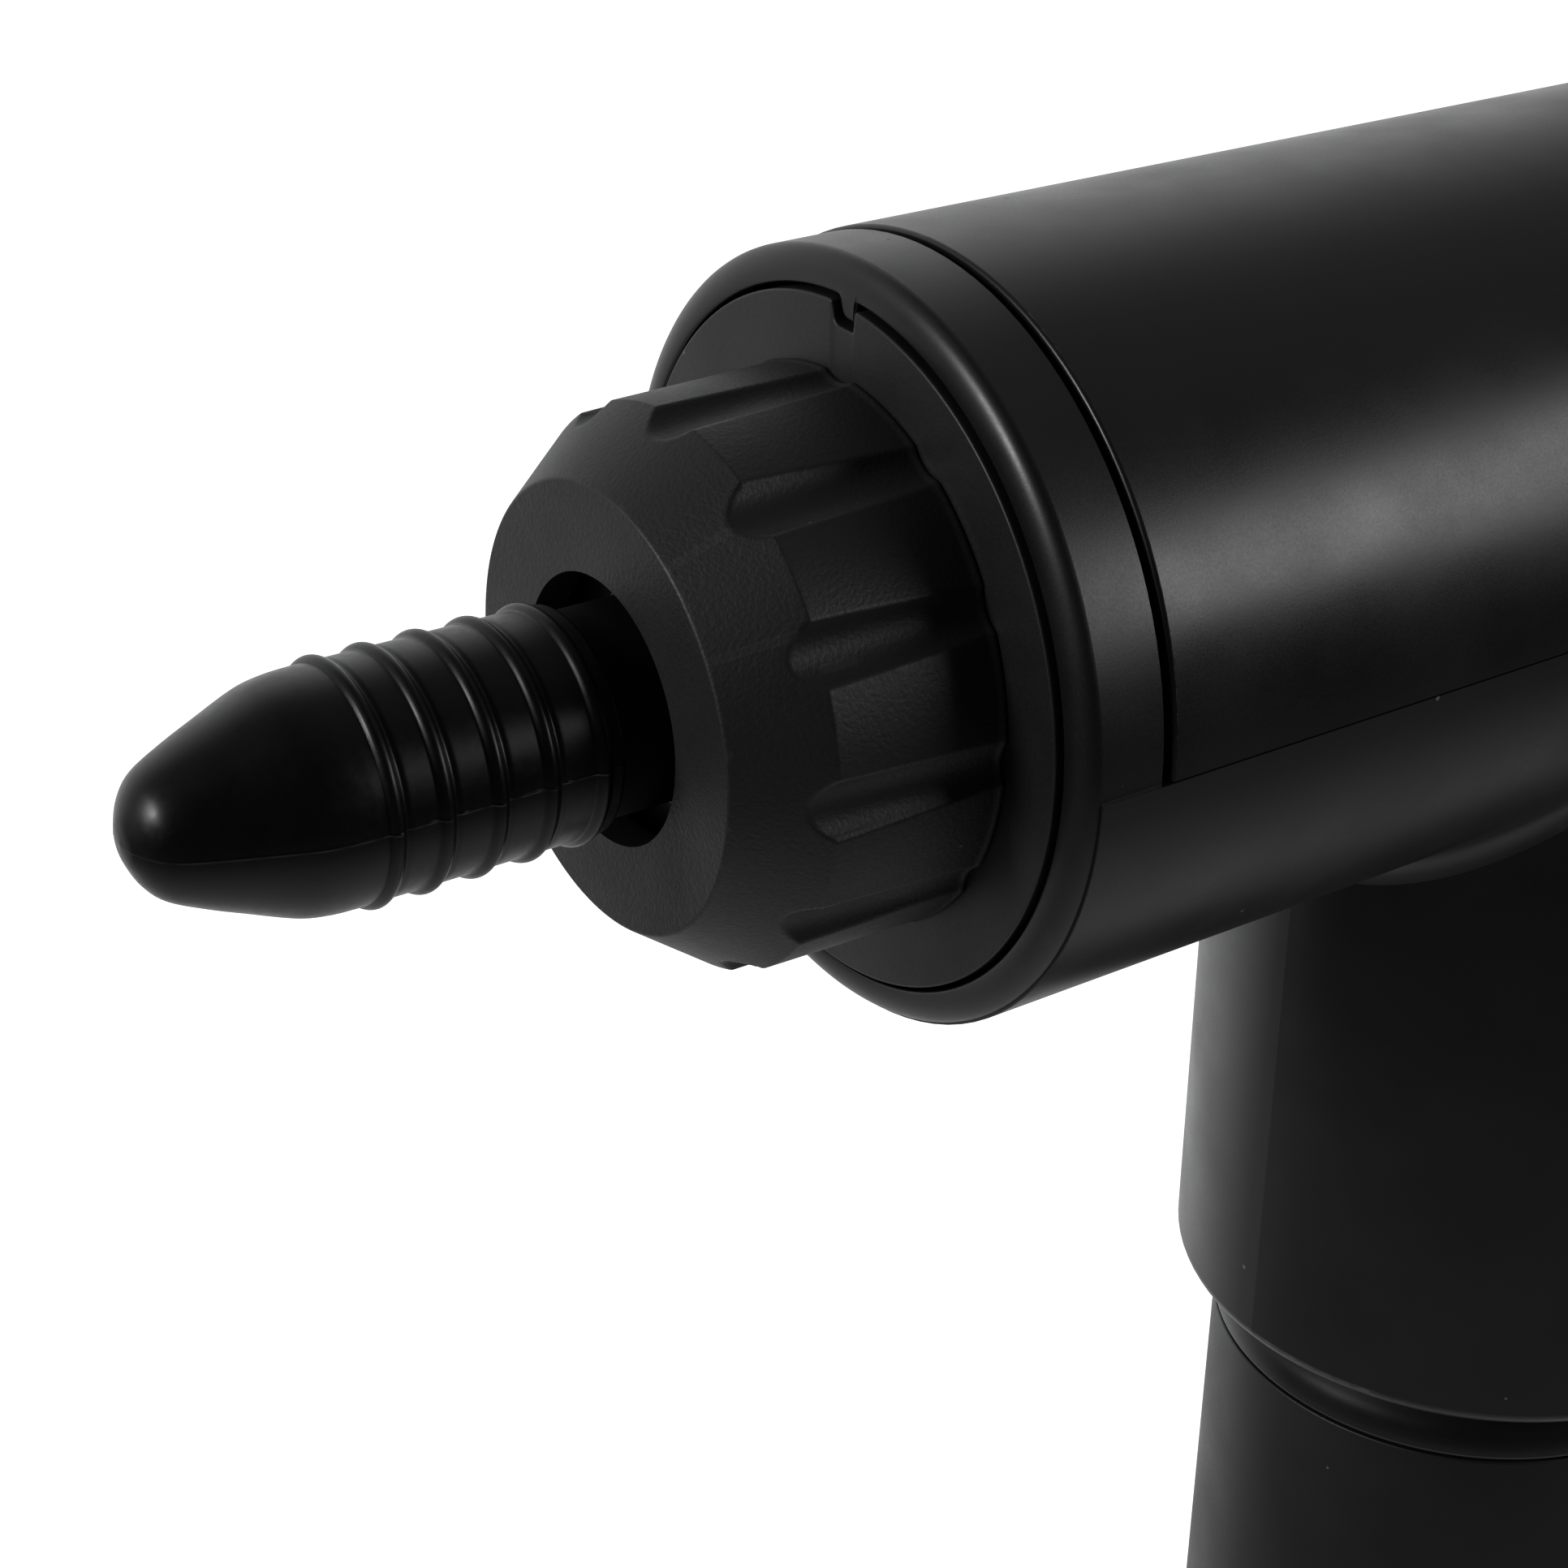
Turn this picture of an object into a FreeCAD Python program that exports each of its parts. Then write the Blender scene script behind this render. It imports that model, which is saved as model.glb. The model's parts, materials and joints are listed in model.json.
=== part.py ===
import FreeCAD, Part
import math
import os

# A pistol-shaped massage gun. +X points out of the nose, +Z is up, and the
# origin is the centre of the flat foot that the handle stands on. Millimetres.

os.makedirs("parts", exist_ok=True)
V = FreeCAD.Vector

# ---- barrel and housing ----
AXIS_Z = 205.0          # height of the barrel axis over the base
R_SHELL = 32.0          # lower shell and top cover, outside
R_BAND = 31.75          # band and bezel, outside
R_SHELL_IN = 29.4       # lower shell, inside
R_DECK = 29.8           # deck under the top cover, outside
R_DECK_IN = 27.6
R_COVER_IN = 30.0
SPLIT_Z = AXIS_Z - 1.0  # plane where upper and lower shells meet
SEAM = 0.15             # fine gap along the cover's edge
X_REAR = -38.0          # shells end here and the rear cap begins
X_COVER = 75.95         # front edge of the top cover
X_BAND = 76.75          # rear edge of the band
X_STEP = 78.0           # inside step that stops the bezel's spigot
X_SEAM = 82.45          # bezel meets the shells
SOFT_EDGE = 0.35        # rounding of the cover's front edge

# ---- nose ----
X_BEZEL = 83.45         # front face of the bezel
X_LEDGE = 81.0          # seat of the front plate inside the bezel
R_LIP = 28.8
R_LEDGE = 26.9
X_PLATE = 84.2          # front face of the plate
R_PLATE = 28.4
PLATE_T = 3.2
R_PLATE_HOLE = 19.0
NOTCH = [(-1.09, 30.0), (-0.1, 26.62), (2.2, 26.55), (2.71, 30.0)]   # in the plate, (y, height)
TONGUE = [(-0.28, 29.2), (0.32, 27.2), (1.98, 27.05), (2.16, 29.2)]  # on the bezel
X_FACE = 105.6          # flat end of the rubber collar
R_FACE = 17.9
R_MOUTH = 10.8
X_CONE = 99.1           # back edge of the collar's cone
R_COLLAR = 22.6
R_COLLAR_REAR = 22.85
R_COLLAR_IN = 17.0
FLUTES = 12
R_FLUTE = 3.3
X_FLUTE = 101.0         # where a flute's floor runs out through the cone
FLUTE_DEPTHS = (0.55, 1.37)  # at the plate and at the cone
FLUTE_TURN = 2.0        # the first flute stands this many degrees towards +Y

# ---- rear end ----
X_BACK = -46.0          # rear face
CAP_T = 2.8
LENS_Z = AXIS_Z + 6.0
R_LENS = 15.0
BUTTON_Z = AXIS_Z - 16.0
BUTTONS = {"minus_button": (11.0, 3.8), "power_button": (0.0, 4.4), "plus_button": (-11.0, 3.8)}
BUTTON_GAP = 0.3
X_BOARD = (-38.6, -37.0)
BOARD_POSTS = [(20.5, AXIS_Z - 5.0), (-20.5, AXIS_Z - 5.0)]

# ---- neck and handle ----
R_NECK = 30.9
R_NECK_IN = 28.5
Z_RIM = 113.3           # lower rim of the neck
Z_FLOOR = 116.3         # top of the neck's floor
Z_GRIP = 105.7          # seam between the neck ring and the grip
R_GRIP_TOP = 26.4
R_GRIP_BASE = 27.2
R_CORE = 24.4           # handle core tube
R_CORE_IN = 22.9
Z_CAP = 9.0             # seam between the grip and the base cap
Z_BASE = 1.2            # underside of the base cap, above the foot

# ---- battery ----
CELL_R = 9.2
CELL_Z = (22.0, 87.0)
CELL_OFFSET = 12.9      # from the handle axis to a cell's axis

# ---- base ----
FOOT_R = (21.0, 24.0)
ROCKER_X = -7.0
SOCKET_X = 8.5
LED_XY = (8.5, 8.6)
LED_R = 1.2
BASE_SCREWS = [(0.0, 17.2), (0.0, -17.2)]
ROCKER_PIVOT_Z = Z_BASE + 3.4
PIVOT_R = 0.8
ROCKER_TILT = 6.0

# ---- screws and boards in the housing ----
Z_BOARD = 126.0         # underside of the control board
FRAME_SCREW_R = 26.5    # screws that hold the drive frame on its ledge
POST_R = 25.6           # posts under the control board
CORE_SCREW_R = 25.9     # screws in the core's flange
BOSS_XY = [(62.0, 24.0), (62.0, -24.0), (-29.0, 24.0), (-29.0, -24.0)]

# ---- motor ----
Z_FLANGE = 174.0
Z_BELL = (144.5, 172.5)
R_BELL = 23.6
R_BELL_IN = 22.2
R_ROTOR = 20.5
R_STATOR = 20.0
R_TUBE = 13.0
Z_STACK = (153.0, 169.0)
TEETH = 12
MAGNETS = 14
BEARING_R = 11.0
CRANK_Z = (184.6, 197.0)
Z_SHAFT_TOP = 190.2     # the shaft ends under the crank pin's seat
R_PIN = 3.0

# ---- drive ----
THROW = 5.5             # crank radius, half the stroke
ROD_L = 42.0
ROD_T = 7.0
X_WRIST = THROW + ROD_L
R_PISTON = 13.0
FIT = 0.05              # running clearance on the radius
X_PISTON = (38.0, 99.5)
X_GUIDE = (50.0, 76.0)
R_GUIDE = 15.5
R_SOCKET = 8.5
X_SOCKET = 79.5
R_SHAFT = 4.0
Z_PLATE = (178.0, 184.0)  # drive frame's bed
PISTON_GROOVES = (66.0, 70.0)

# ---- head ----
X_TIP = 144.5
X_HEAD = 108.6          # back of the ribbed part
R_HEAD = 9.0
R_SHANK = 8.2
HEAD_PROFILE = [(X_TIP, 0.0), (144.1, 2.05), (143.3, 3.6), (142.0, 4.95), (139.3, 6.3),
                (137.1, 7.2), (134.4, 8.1), (132.4, 8.65), (130.4, 9.0), (128.9, 9.1)]
RIB_X = (127.5, 123.5, 119.2, 114.9, 110.5)
RIB_R = 0.45
O_RING_X = (86.0, 94.0)


def save(shape, name):
    shape.exportStep("parts/" + name + ".step")


def group(shapes):
    return Part.makeCompound(shapes)


def fuse(first, *rest):
    return first.fuse(list(rest)).removeSplitter()


def about_x(points):
    """Solid turned about the barrel axis from (x, radius) points."""
    pts = [V(x, 0, AXIS_Z + r) for x, r in points]
    face = Part.Face(Part.makePolygon(pts + pts[:1]))
    return face.revolve(V(0, 0, AXIS_Z), V(1, 0, 0), 360)


def about_z(points, x=0.0, y=0.0):
    """Solid turned about a vertical axis from (radius, z) points."""
    pts = [V(x + r, y, z) for r, z in points]
    face = Part.Face(Part.makePolygon(pts + pts[:1]))
    return face.revolve(V(x, y, 0), V(0, 0, 1), 360)


def rod_x(x0, x1, r, y=0.0, z=AXIS_Z):
    return Part.makeCylinder(r, x1 - x0, V(x0, y, z), V(1, 0, 0))


def rod_z(z0, z1, r, x=0.0, y=0.0):
    return Part.makeCylinder(r, z1 - z0, V(x, y, z0), V(0, 0, 1))


def tube_x(x0, x1, r_out, r_in):
    return rod_x(x0, x1, r_out).cut(rod_x(x0 - 1, x1 + 1, r_in))


def tube_z(z0, z1, r_out, r_in, x=0.0, y=0.0):
    return rod_z(z0, z1, r_out, x, y).cut(rod_z(z0 - 1, z1 + 1, r_in, x, y))


def block(x0, x1, y0, y1, z0, z1):
    return Part.makeBox(x1 - x0, y1 - y0, z1 - z0, V(x0, y0, z0))


def prism_x(x0, x1, points):
    """Prism along the barrel from (y, height over the axis) points."""
    pts = [V(x0, y, AXIS_Z + h) for y, h in points]
    return Part.Face(Part.makePolygon(pts + pts[:1])).extrude(V(x1 - x0, 0, 0))


def below(z):
    return block(-300, 300, -300, 300, z - 300, z)


def above(z):
    return block(-300, 300, -300, 300, z, z + 300)


def turned(shape, angle, centre=V(0, 0, 0), axis=V(0, 0, 1)):
    copy = shape.copy()
    copy.rotate(centre, axis, angle)
    return copy


def spun_x(shape, angle):
    return turned(shape, angle, V(0, 0, AXIS_Z), V(1, 0, 0))


def ring(shape, count, start=0.0):
    """Copies of a shape spread evenly round the handle axis."""
    return [turned(shape, start + i * 360.0 / count) for i in range(count)]


def edges_where(shape, test):
    return [e for e in shape.Edges if test(e)]


def rounded(shape, radius, test):
    return shape.makeFillet(radius, edges_where(shape, test))


def screw_z(x, y, z_head, length, r=1.25, r_head=2.4, head=1.8, up=True):
    """Machine screw with a hex socket, its head up or down."""
    s = 1.0 if up else -1.0
    body = Part.makeCylinder(r, length, V(x, y, z_head), V(0, 0, -s))
    cap = Part.makeCylinder(r_head, head, V(x, y, z_head), V(0, 0, s))
    hexagon = [V(x + r * math.cos(a), y + r * math.sin(a), z_head + s * head)
               for a in [math.radians(60 * i) for i in range(7)]]
    socket = Part.Face(Part.makePolygon(hexagon)).extrude(V(0, 0, -s * head * 0.6))
    return body.fuse(cap).cut(socket).removeSplitter()


# ---------------------------------------------------------------- housing

def circle_points(radius, count, start=0.0):
    angles = [math.radians(start + i * 360.0 / count) for i in range(count)]
    return [(radius * math.cos(a), radius * math.sin(a)) for a in angles]


def lower_housing():
    """Lower half of the barrel with the neck, as one moulded shell."""
    neck_top = AXIS_Z - 2.0
    barrel = rod_x(X_REAR, X_SEAM, R_SHELL)
    neck = rod_z(Z_RIM, neck_top, R_NECK)
    body = barrel.fuse(neck)
    crossing = edges_where(body, lambda e: e.BoundBox.ZMax < neck_top - 1
                           and e.BoundBox.ZMin > AXIS_Z - R_SHELL - 1
                           and e.BoundBox.YLength > 5)
    body = body.makeFillet(4.0, crossing)
    body = rounded(body, 1.6, lambda e: abs(e.BoundBox.ZMax - Z_RIM) < 0.01)
    body = body.common(below(SPLIT_Z))
    body = body.cut(rod_x(X_REAR - 1, X_SEAM + 1, R_SHELL_IN))
    body = body.cut(rod_z(Z_FLOOR, AXIS_Z, R_NECK_IN))
    body = body.cut(rod_z(Z_RIM - 1, Z_FLOOR + 1, R_CORE + 0.1))
    ledge = tube_z(173.6, 177.0, R_NECK_IN + 0.5, 25.2)
    ledge = ledge.cut(tube_z(173.0, 178.0, R_NECK_IN + 5, R_NECK_IN + 0.4))
    core_space = rod_z(Z_RIM - 1, Z_BOARD + 1, R_CORE + 0.1)
    posts = [rod_z(Z_FLOOR - 1, Z_BOARD, 2.4, x, y).cut(core_space)
             for x, y in circle_points(POST_R, 4)]
    body = body.fuse([ledge] + posts)
    for x, y in circle_points(POST_R, 4):
        body = body.cut(rod_z(Z_BOARD - 4.0, Z_BOARD + 1, 0.9, x, y))
    for x, y in circle_points(CORE_SCREW_R, 4, 45):
        body = body.cut(rod_z(Z_FLOOR - 2.0, Z_FLOOR + 1, 0.8, x, y))
    for screw in ring(rod_z(160, 180, 1.0, FRAME_SCREW_R), 4, 45):
        body = body.cut(screw)
    for x, y in BOSS_XY:
        boss = rod_z(SPLIT_Z - 12.0, SPLIT_Z, 2.6, x, y)
        web = block(x - 0.8, x + 0.8, min(y, 1.15 * y), max(y, 1.15 * y), SPLIT_Z - 12.0, SPLIT_Z)
        boss = fuse(boss, web).common(rod_x(X_REAR, X_SEAM, R_SHELL - 1.0))
        body = body.fuse(boss).cut(rod_z(SPLIT_Z - 11.0, SPLIT_Z + 1, 1.0, x, y))
    return body.removeSplitter()


def upper_housing():
    """Upper half shell: the band shows, the deck lies under the cover."""
    profile = [(X_REAR, R_DECK_IN), (X_STEP, R_DECK_IN), (X_STEP, R_SHELL_IN),
               (X_SEAM, R_SHELL_IN), (X_SEAM, R_BAND), (X_BAND, R_BAND),
               (X_BAND, R_DECK), (X_REAR, R_DECK)]
    body = about_x(profile).common(above(SPLIT_Z))
    for x, y in BOSS_XY:
        boss = rod_z(SPLIT_Z, SPLIT_Z + 13.0, 2.6, x, y)
        web = block(x - 0.8, x + 0.8, min(y, 1.2 * y), max(y, 1.2 * y), SPLIT_Z, SPLIT_Z + 13.0)
        boss = fuse(boss, web).common(rod_x(X_REAR, X_SEAM, R_DECK - 0.6))
        body = body.fuse(boss).cut(rod_z(SPLIT_Z - 1, SPLIT_Z + 4.0, 1.4, x, y))
        body = body.cut(rod_z(SPLIT_Z + 3.0, SPLIT_Z + 40.0, 2.5, x, y))
    return body.removeSplitter()


def top_cover():
    """Satin outer cover that hides the screws of the upper shell."""
    body = tube_x(X_REAR, X_COVER, R_SHELL, R_COVER_IN)
    body = rounded(body, SOFT_EDGE, lambda e: abs(e.BoundBox.XMin - X_COVER) < 0.01
                   and e.BoundBox.YMax > R_SHELL - 0.1).common(above(SPLIT_Z + SEAM))
    hooks = []
    for x in (-20.0, 15.0, 50.0):
        for side in (-1, 1):
            y0, y1 = sorted((side * (R_DECK + 0.05), side * (R_COVER_IN + 0.8)))
            hooks.append(block(x - 4, x + 4, y0, y1, SPLIT_Z + SEAM, SPLIT_Z + 3.0))
    hooks = [h.common(rod_x(X_REAR, X_COVER, R_SHELL - 0.5)) for h in hooks]
    hooks = [h.cut(rod_x(X_REAR, X_COVER, R_DECK + 0.05)) for h in hooks]
    return body.fuse(hooks).removeSplitter()


def corner_rounded(prism, corner, radius):
    """Rounds the long edge of a prism that runs through an (y, height) corner."""
    y, z = corner[0], AXIS_Z + corner[1]
    return rounded(prism, radius, lambda e: e.BoundBox.XLength > 1
                   and abs(e.BoundBox.YMin - y) < 0.05 and abs(e.BoundBox.ZMin - z) < 0.05)


def front_bezel():
    """Ring round the nose plate, with a small tongue near the top."""
    r_spigot = R_SHELL_IN - 0.05
    body = about_x([(X_STEP + 0.1, R_LEDGE), (X_LEDGE, R_LEDGE), (X_LEDGE, R_LIP),
                    (X_BEZEL, R_LIP), (X_BEZEL, R_BAND), (X_SEAM, R_BAND),
                    (X_SEAM, r_spigot), (X_STEP + 0.1, r_spigot)])
    at_front = lambda e: abs(e.BoundBox.XMin - X_BEZEL) < 0.01
    body = rounded(body, 0.9, lambda e: at_front(e) and e.BoundBox.YMax > R_BAND - 0.1)
    body = rounded(body, 0.6, lambda e: at_front(e) and e.BoundBox.YMax < R_LIP + 0.1)
    tongue = corner_rounded(prism_x(X_LEDGE, X_BEZEL, TONGUE), TONGUE[1], 0.95)
    tongue = corner_rounded(tongue, TONGUE[2], 0.25)
    return fuse(body, tongue)


def front_plate():
    """Flat plate behind the collar, notched for the bezel's tongue."""
    x0 = X_PLATE - PLATE_T
    body = tube_x(x0, X_PLATE, R_PLATE, R_PLATE_HOLE)
    body = rounded(body, 0.25, lambda e: abs(e.BoundBox.XMin - X_PLATE) < 0.01
                   and e.BoundBox.YMax > R_PLATE - 0.1)
    skirt = tube_x(x0 - 5.0, x0 + 0.1, R_LEDGE - 0.3, R_LEDGE - 2.3)
    notch = corner_rounded(prism_x(x0, X_PLATE + 1, NOTCH), NOTCH[1], 0.75)
    notch = corner_rounded(notch, NOTCH[2], 0.22)
    body = body.fuse(skirt).cut(notch)
    for angle in (60, 180, 300):
        hole = rod_x(x0 - 1, X_PLATE - 1.2, 1.2, 0, AXIS_Z + 21.8)
        body = body.cut(spun_x(hole, angle))
    return body.removeSplitter()


def nose_collar():
    """Rubber collar with a coned nose and flutes that run out through the cone."""
    x_bead = X_PLATE - PLATE_T
    body = about_x([(X_PLATE, R_PLATE_HOLE), (X_PLATE, R_COLLAR_REAR),
                    (X_CONE, R_COLLAR), (X_FACE, R_FACE), (X_FACE, R_MOUTH),
                    (X_FACE - 3.4, R_MOUTH), (X_FACE - 5.0, 15.0), (98.0, R_COLLAR_IN),
                    (x_bead - 3.0, R_COLLAR_IN), (x_bead - 3.0, R_PLATE_HOLE + 1.2),
                    (x_bead, R_PLATE_HOLE + 1.2), (x_bead, R_PLATE_HOLE)])
    body = rounded(body, 0.35, lambda e: abs(e.BoundBox.XMin - X_FACE) < 0.01
                   and e.BoundBox.YMax > R_FACE - 0.1)
    start = V(X_PLATE, 0, AXIS_Z + R_COLLAR_REAR - FLUTE_DEPTHS[0] + R_FLUTE)
    end = V(X_FLUTE, 0, AXIS_Z + R_COLLAR - FLUTE_DEPTHS[1] + R_FLUTE)
    along = end - start
    cutter = Part.makeCylinder(R_FLUTE, along.Length * 1.8, start - along * 0.2, along)
    for i in range(FLUTES):
        body = body.cut(spun_x(cutter, i * 360.0 / FLUTES - FLUTE_TURN))
    return body


# ---------------------------------------------------------------- rear end

def rear_cap():
    """Domed rear cap with the display window and button holes."""
    body = rod_x(X_BACK, X_REAR - 0.2, R_SHELL)
    body = rounded(body, 5.0, lambda e: abs(e.BoundBox.XMax - X_BACK) < 0.01)
    body = body.cut(rod_x(X_BACK + CAP_T, X_REAR + 1, R_DECK_IN - 1.5))
    spigot = tube_x(X_REAR - 3.0, X_REAR + 5.0, R_DECK_IN - 0.1, R_DECK_IN - 2.4)
    body = body.fuse(spigot)
    body = body.cut(rod_x(X_BACK - 1, X_BACK + 1.1, R_LENS + 0.1, 0, LENS_Z))
    body = body.cut(rod_x(X_BACK - 1, X_BACK + CAP_T + 1, R_LENS - 2.2, 0, LENS_Z))
    for y, r in BUTTONS.values():
        body = body.cut(rod_x(X_BACK - 1, X_BACK + CAP_T + 1, r + BUTTON_GAP, y, BUTTON_Z))
    for y, z in BOARD_POSTS:
        body = body.fuse(rod_x(X_BACK + CAP_T - 0.5, X_BOARD[0], 2.0, y, z))
    for y, z in BOARD_POSTS:
        body = body.cut(rod_x(X_BOARD[0] - 3.0, X_BOARD[0] + 1, 0.8, y, z))
    return body.removeSplitter()


def display_lens():
    lens = rod_x(X_BACK - 0.25, X_BACK + 1.0, R_LENS, 0, LENS_Z)
    return rounded(lens, 0.3, lambda e: abs(e.BoundBox.XMax - X_BACK + 0.25) < 0.01)


def display_module():
    """Backlit panel behind the lens, standing on the button board."""
    body = block(X_BACK + CAP_T + 0.3, X_BOARD[0], -9.0, 9.0, LENS_Z - 8.0, LENS_Z + 8.0)
    return body


def display_board():
    body = rod_x(X_BOARD[0], X_BOARD[1], 24.4)
    for y, z in BOARD_POSTS:
        body = body.cut(rod_x(X_BOARD[0] - 1, X_BOARD[1] + 1, 1.1, y, z))
    return body


def board_screws():
    screws = []
    for y, z in BOARD_POSTS:
        stem = rod_x(X_BOARD[0] - 2.8, X_BOARD[1], 0.75, y, z)
        head = rod_x(X_BOARD[1], X_BOARD[1] + 1.2, 1.9, y, z)
        cross = block(X_BOARD[1] + 0.6, X_BOARD[1] + 2, y - 1.2, y + 1.2, z - 0.25, z + 0.25)
        screws.append(stem.fuse(head).cut(cross).removeSplitter())
    return group(screws)


def button(y, r):
    """Push button with a flange inside the cap and a stem."""
    x_flange = X_BACK + CAP_T + 0.15
    cap = rod_x(X_BACK - 0.9, x_flange + 0.1, r, y, BUTTON_Z)
    cap = rounded(cap, 0.5, lambda e: abs(e.BoundBox.XMax - X_BACK + 0.9) < 0.01)
    flange = rod_x(x_flange, x_flange + 1.0, r + 1.1, y, BUTTON_Z)
    stem = rod_x(x_flange + 0.9, X_BOARD[0] - 1.7, 1.5, y, BUTTON_Z)
    return fuse(cap, flange, stem)


def button_domes():
    """Snap domes on the board, one under each button."""
    domes = []
    for y, r in BUTTONS.values():
        domes.append(rod_x(X_BOARD[0] - 0.5, X_BOARD[0], 2.6, y, BUTTON_Z))
    return group(domes)


# ---------------------------------------------------------------- handle

def neck_ring():
    """Flared trim ring between the neck and the grip."""
    return about_z([(R_CORE + 0.05, Z_GRIP), (R_GRIP_TOP, Z_GRIP), (R_GRIP_TOP, Z_GRIP + 0.6),
                    (25.9, Z_GRIP + 2.0), (25.3, Z_GRIP + 4.5), (25.0, Z_RIM),
                    (R_CORE + 0.05, Z_RIM)])


def grip_sleeve():
    """Soft sleeve over the battery tube, slightly wider at the base."""
    body = about_z([(R_CORE + 0.05, Z_CAP), (R_GRIP_BASE, Z_CAP),
                    (R_GRIP_TOP, Z_GRIP - 0.4), (R_CORE + 0.05, Z_GRIP - 0.4)])
    return rounded(body, 0.4, lambda e: abs(e.BoundBox.ZMin - Z_GRIP + 0.4) < 0.01
                   and e.BoundBox.YMax > R_GRIP_TOP - 0.1)


def handle_core():
    """Inner tube of the handle, flanged above the neck's floor."""
    tube = tube_z(Z_CAP + 0.5, Z_FLOOR + 3.0, R_CORE, R_CORE_IN)
    flange = tube_z(Z_FLOOR, Z_FLOOR + 2.5, R_CORE + 3.0, R_CORE - 0.1)
    foot = tube_z(Z_CAP + 0.5, Z_CAP + 3.5, R_CORE - 0.1, 20.0)
    bridge = block(-4.5, 4.5, -21.0, 21.0, Z_CAP + 1.0, Z_CAP + 3.5)
    body = fuse(tube, flange, foot, bridge)
    inside = rod_z(Z_FLOOR - 2, Z_FLOOR + 5, R_CORE)
    for x, y in circle_points(POST_R, 4):
        body = body.cut(rod_z(Z_FLOOR - 1, Z_FLOOR + 4, 2.7, x, y).cut(inside))
    for x, y in circle_points(CORE_SCREW_R, 4, 45):
        body = body.cut(rod_z(Z_FLOOR - 1, Z_FLOOR + 2.6, 1.0, x, y).cut(inside))
    for x, y in BASE_SCREWS:
        body = body.cut(rod_z(Z_CAP, Z_CAP + 5, 1.2, x, y))
    return body


def core_screws():
    """Screws through the core's flange into the neck's floor."""
    shapes = []
    for x, y in circle_points(CORE_SCREW_R, 4, 45):
        stem = rod_z(Z_FLOOR - 2.0, Z_FLOOR + 2.5, 0.8, x, y)
        head = rod_z(Z_FLOOR + 2.5, Z_FLOOR + 3.6, 1.4, x, y)
        shapes.append(fuse(stem, head))
    return group(shapes)


def base_cap():
    """Cap that closes the handle; the switch and the socket are in it."""
    r0 = R_GRIP_BASE
    body = rod_z(Z_BASE, Z_CAP - 0.3, r0)
    body = rounded(body, 2.4, lambda e: abs(e.BoundBox.ZMax - Z_BASE) < 0.01)
    body = body.cut(rod_z(Z_BASE + 2.6, Z_CAP + 1, r0 - 3.0))
    body = body.cut(tube_z(Z_BASE - 1, Z_BASE + 1.0, FOOT_R[1] + 0.05, FOOT_R[0] - 0.05))
    body = body.fuse(tube_z(Z_CAP - 3.5, Z_CAP + 0.35, r0 - 2.9, 21.4))
    body = body.cut(block(ROCKER_X - 5.3, ROCKER_X + 5.3, -7.8, 7.8, Z_BASE - 1, Z_BASE + 5))
    x0, x1 = SOCKET_X - 1.75, SOCKET_X + 1.75
    opening = block(x0, x1, -4.6, 4.6, Z_BASE - 1, Z_BASE + 5)
    opening = opening.makeFillet(1.6, [e for e in opening.Edges if e.BoundBox.ZLength > 5])
    body = body.cut(opening)
    body = body.cut(rod_z(Z_BASE - 1, Z_BASE + 4, LED_R + 0.05, LED_XY[0], LED_XY[1]))
    for x, y in BASE_SCREWS:
        body = body.fuse(rod_z(Z_BASE + 1.0, Z_CAP - 0.3, 3.2, x, y))
    for x, y in BASE_SCREWS:
        body = body.cut(rod_z(Z_BASE - 1, Z_BASE + 3.0, 2.5, x, y))
        body = body.cut(rod_z(Z_BASE - 1, Z_CAP + 3.0, 1.35, x, y))
    return body.removeSplitter()


def base_foot():
    body = tube_z(0, Z_BASE + 1.0, FOOT_R[1], FOOT_R[0])
    return rounded(body, 0.4, lambda e: abs(e.BoundBox.ZMax) < 0.01)


def base_screws():
    return group([screw_z(x, y, Z_BASE + 3.0, 9.0, 1.2, 2.3, 1.6, up=False)
                  for x, y in BASE_SCREWS])


def rocker_frame():
    """Snap-in frame of the master switch."""
    z0 = Z_BASE - 0.6
    lip = block(ROCKER_X - 6.3, ROCKER_X + 6.3, -8.8, 8.8, z0, Z_BASE)
    lip = rounded(lip, 1.0, lambda e: abs(e.BoundBox.ZLength - 0.6) < 0.01)
    sleeve = block(ROCKER_X - 5.2, ROCKER_X + 5.2, -7.7, 7.7, Z_BASE - 0.1, Z_CAP - 1.0)
    well = block(ROCKER_X - 4.2, ROCKER_X + 4.2, -6.7, 6.7, z0 - 1, Z_CAP - 2.0)
    body = fuse(lip, sleeve).cut(well)
    return body.cut(rod_x(ROCKER_X - 5.0, ROCKER_X + 5.0, PIVOT_R + 0.06, 0, ROCKER_PIVOT_Z))


def rocker_paddle():
    """Rocker with two sloped faces, tilted at rest to its off side."""
    half = 6.0
    pts = [V(ROCKER_X - 3.9, -half, Z_BASE - 0.15), V(ROCKER_X - 3.9, 0, Z_BASE + 0.9),
           V(ROCKER_X - 3.9, half, Z_BASE - 0.15), V(ROCKER_X - 3.9, half - 1.2, Z_BASE + 3.0),
           V(ROCKER_X - 3.9, 2.0, Z_BASE + 4.6), V(ROCKER_X - 3.9, -2.0, Z_BASE + 4.6),
           V(ROCKER_X - 3.9, -half + 1.2, Z_BASE + 3.0)]
    body = Part.Face(Part.makePolygon(pts + pts[:1])).extrude(V(7.8, 0, 0))
    body = fuse(body, rod_x(ROCKER_X - 4.9, ROCKER_X + 4.9, PIVOT_R, 0, ROCKER_PIVOT_Z))
    return turned(body, ROCKER_TILT, V(0, 0, ROCKER_PIVOT_Z), V(1, 0, 0))


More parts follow.
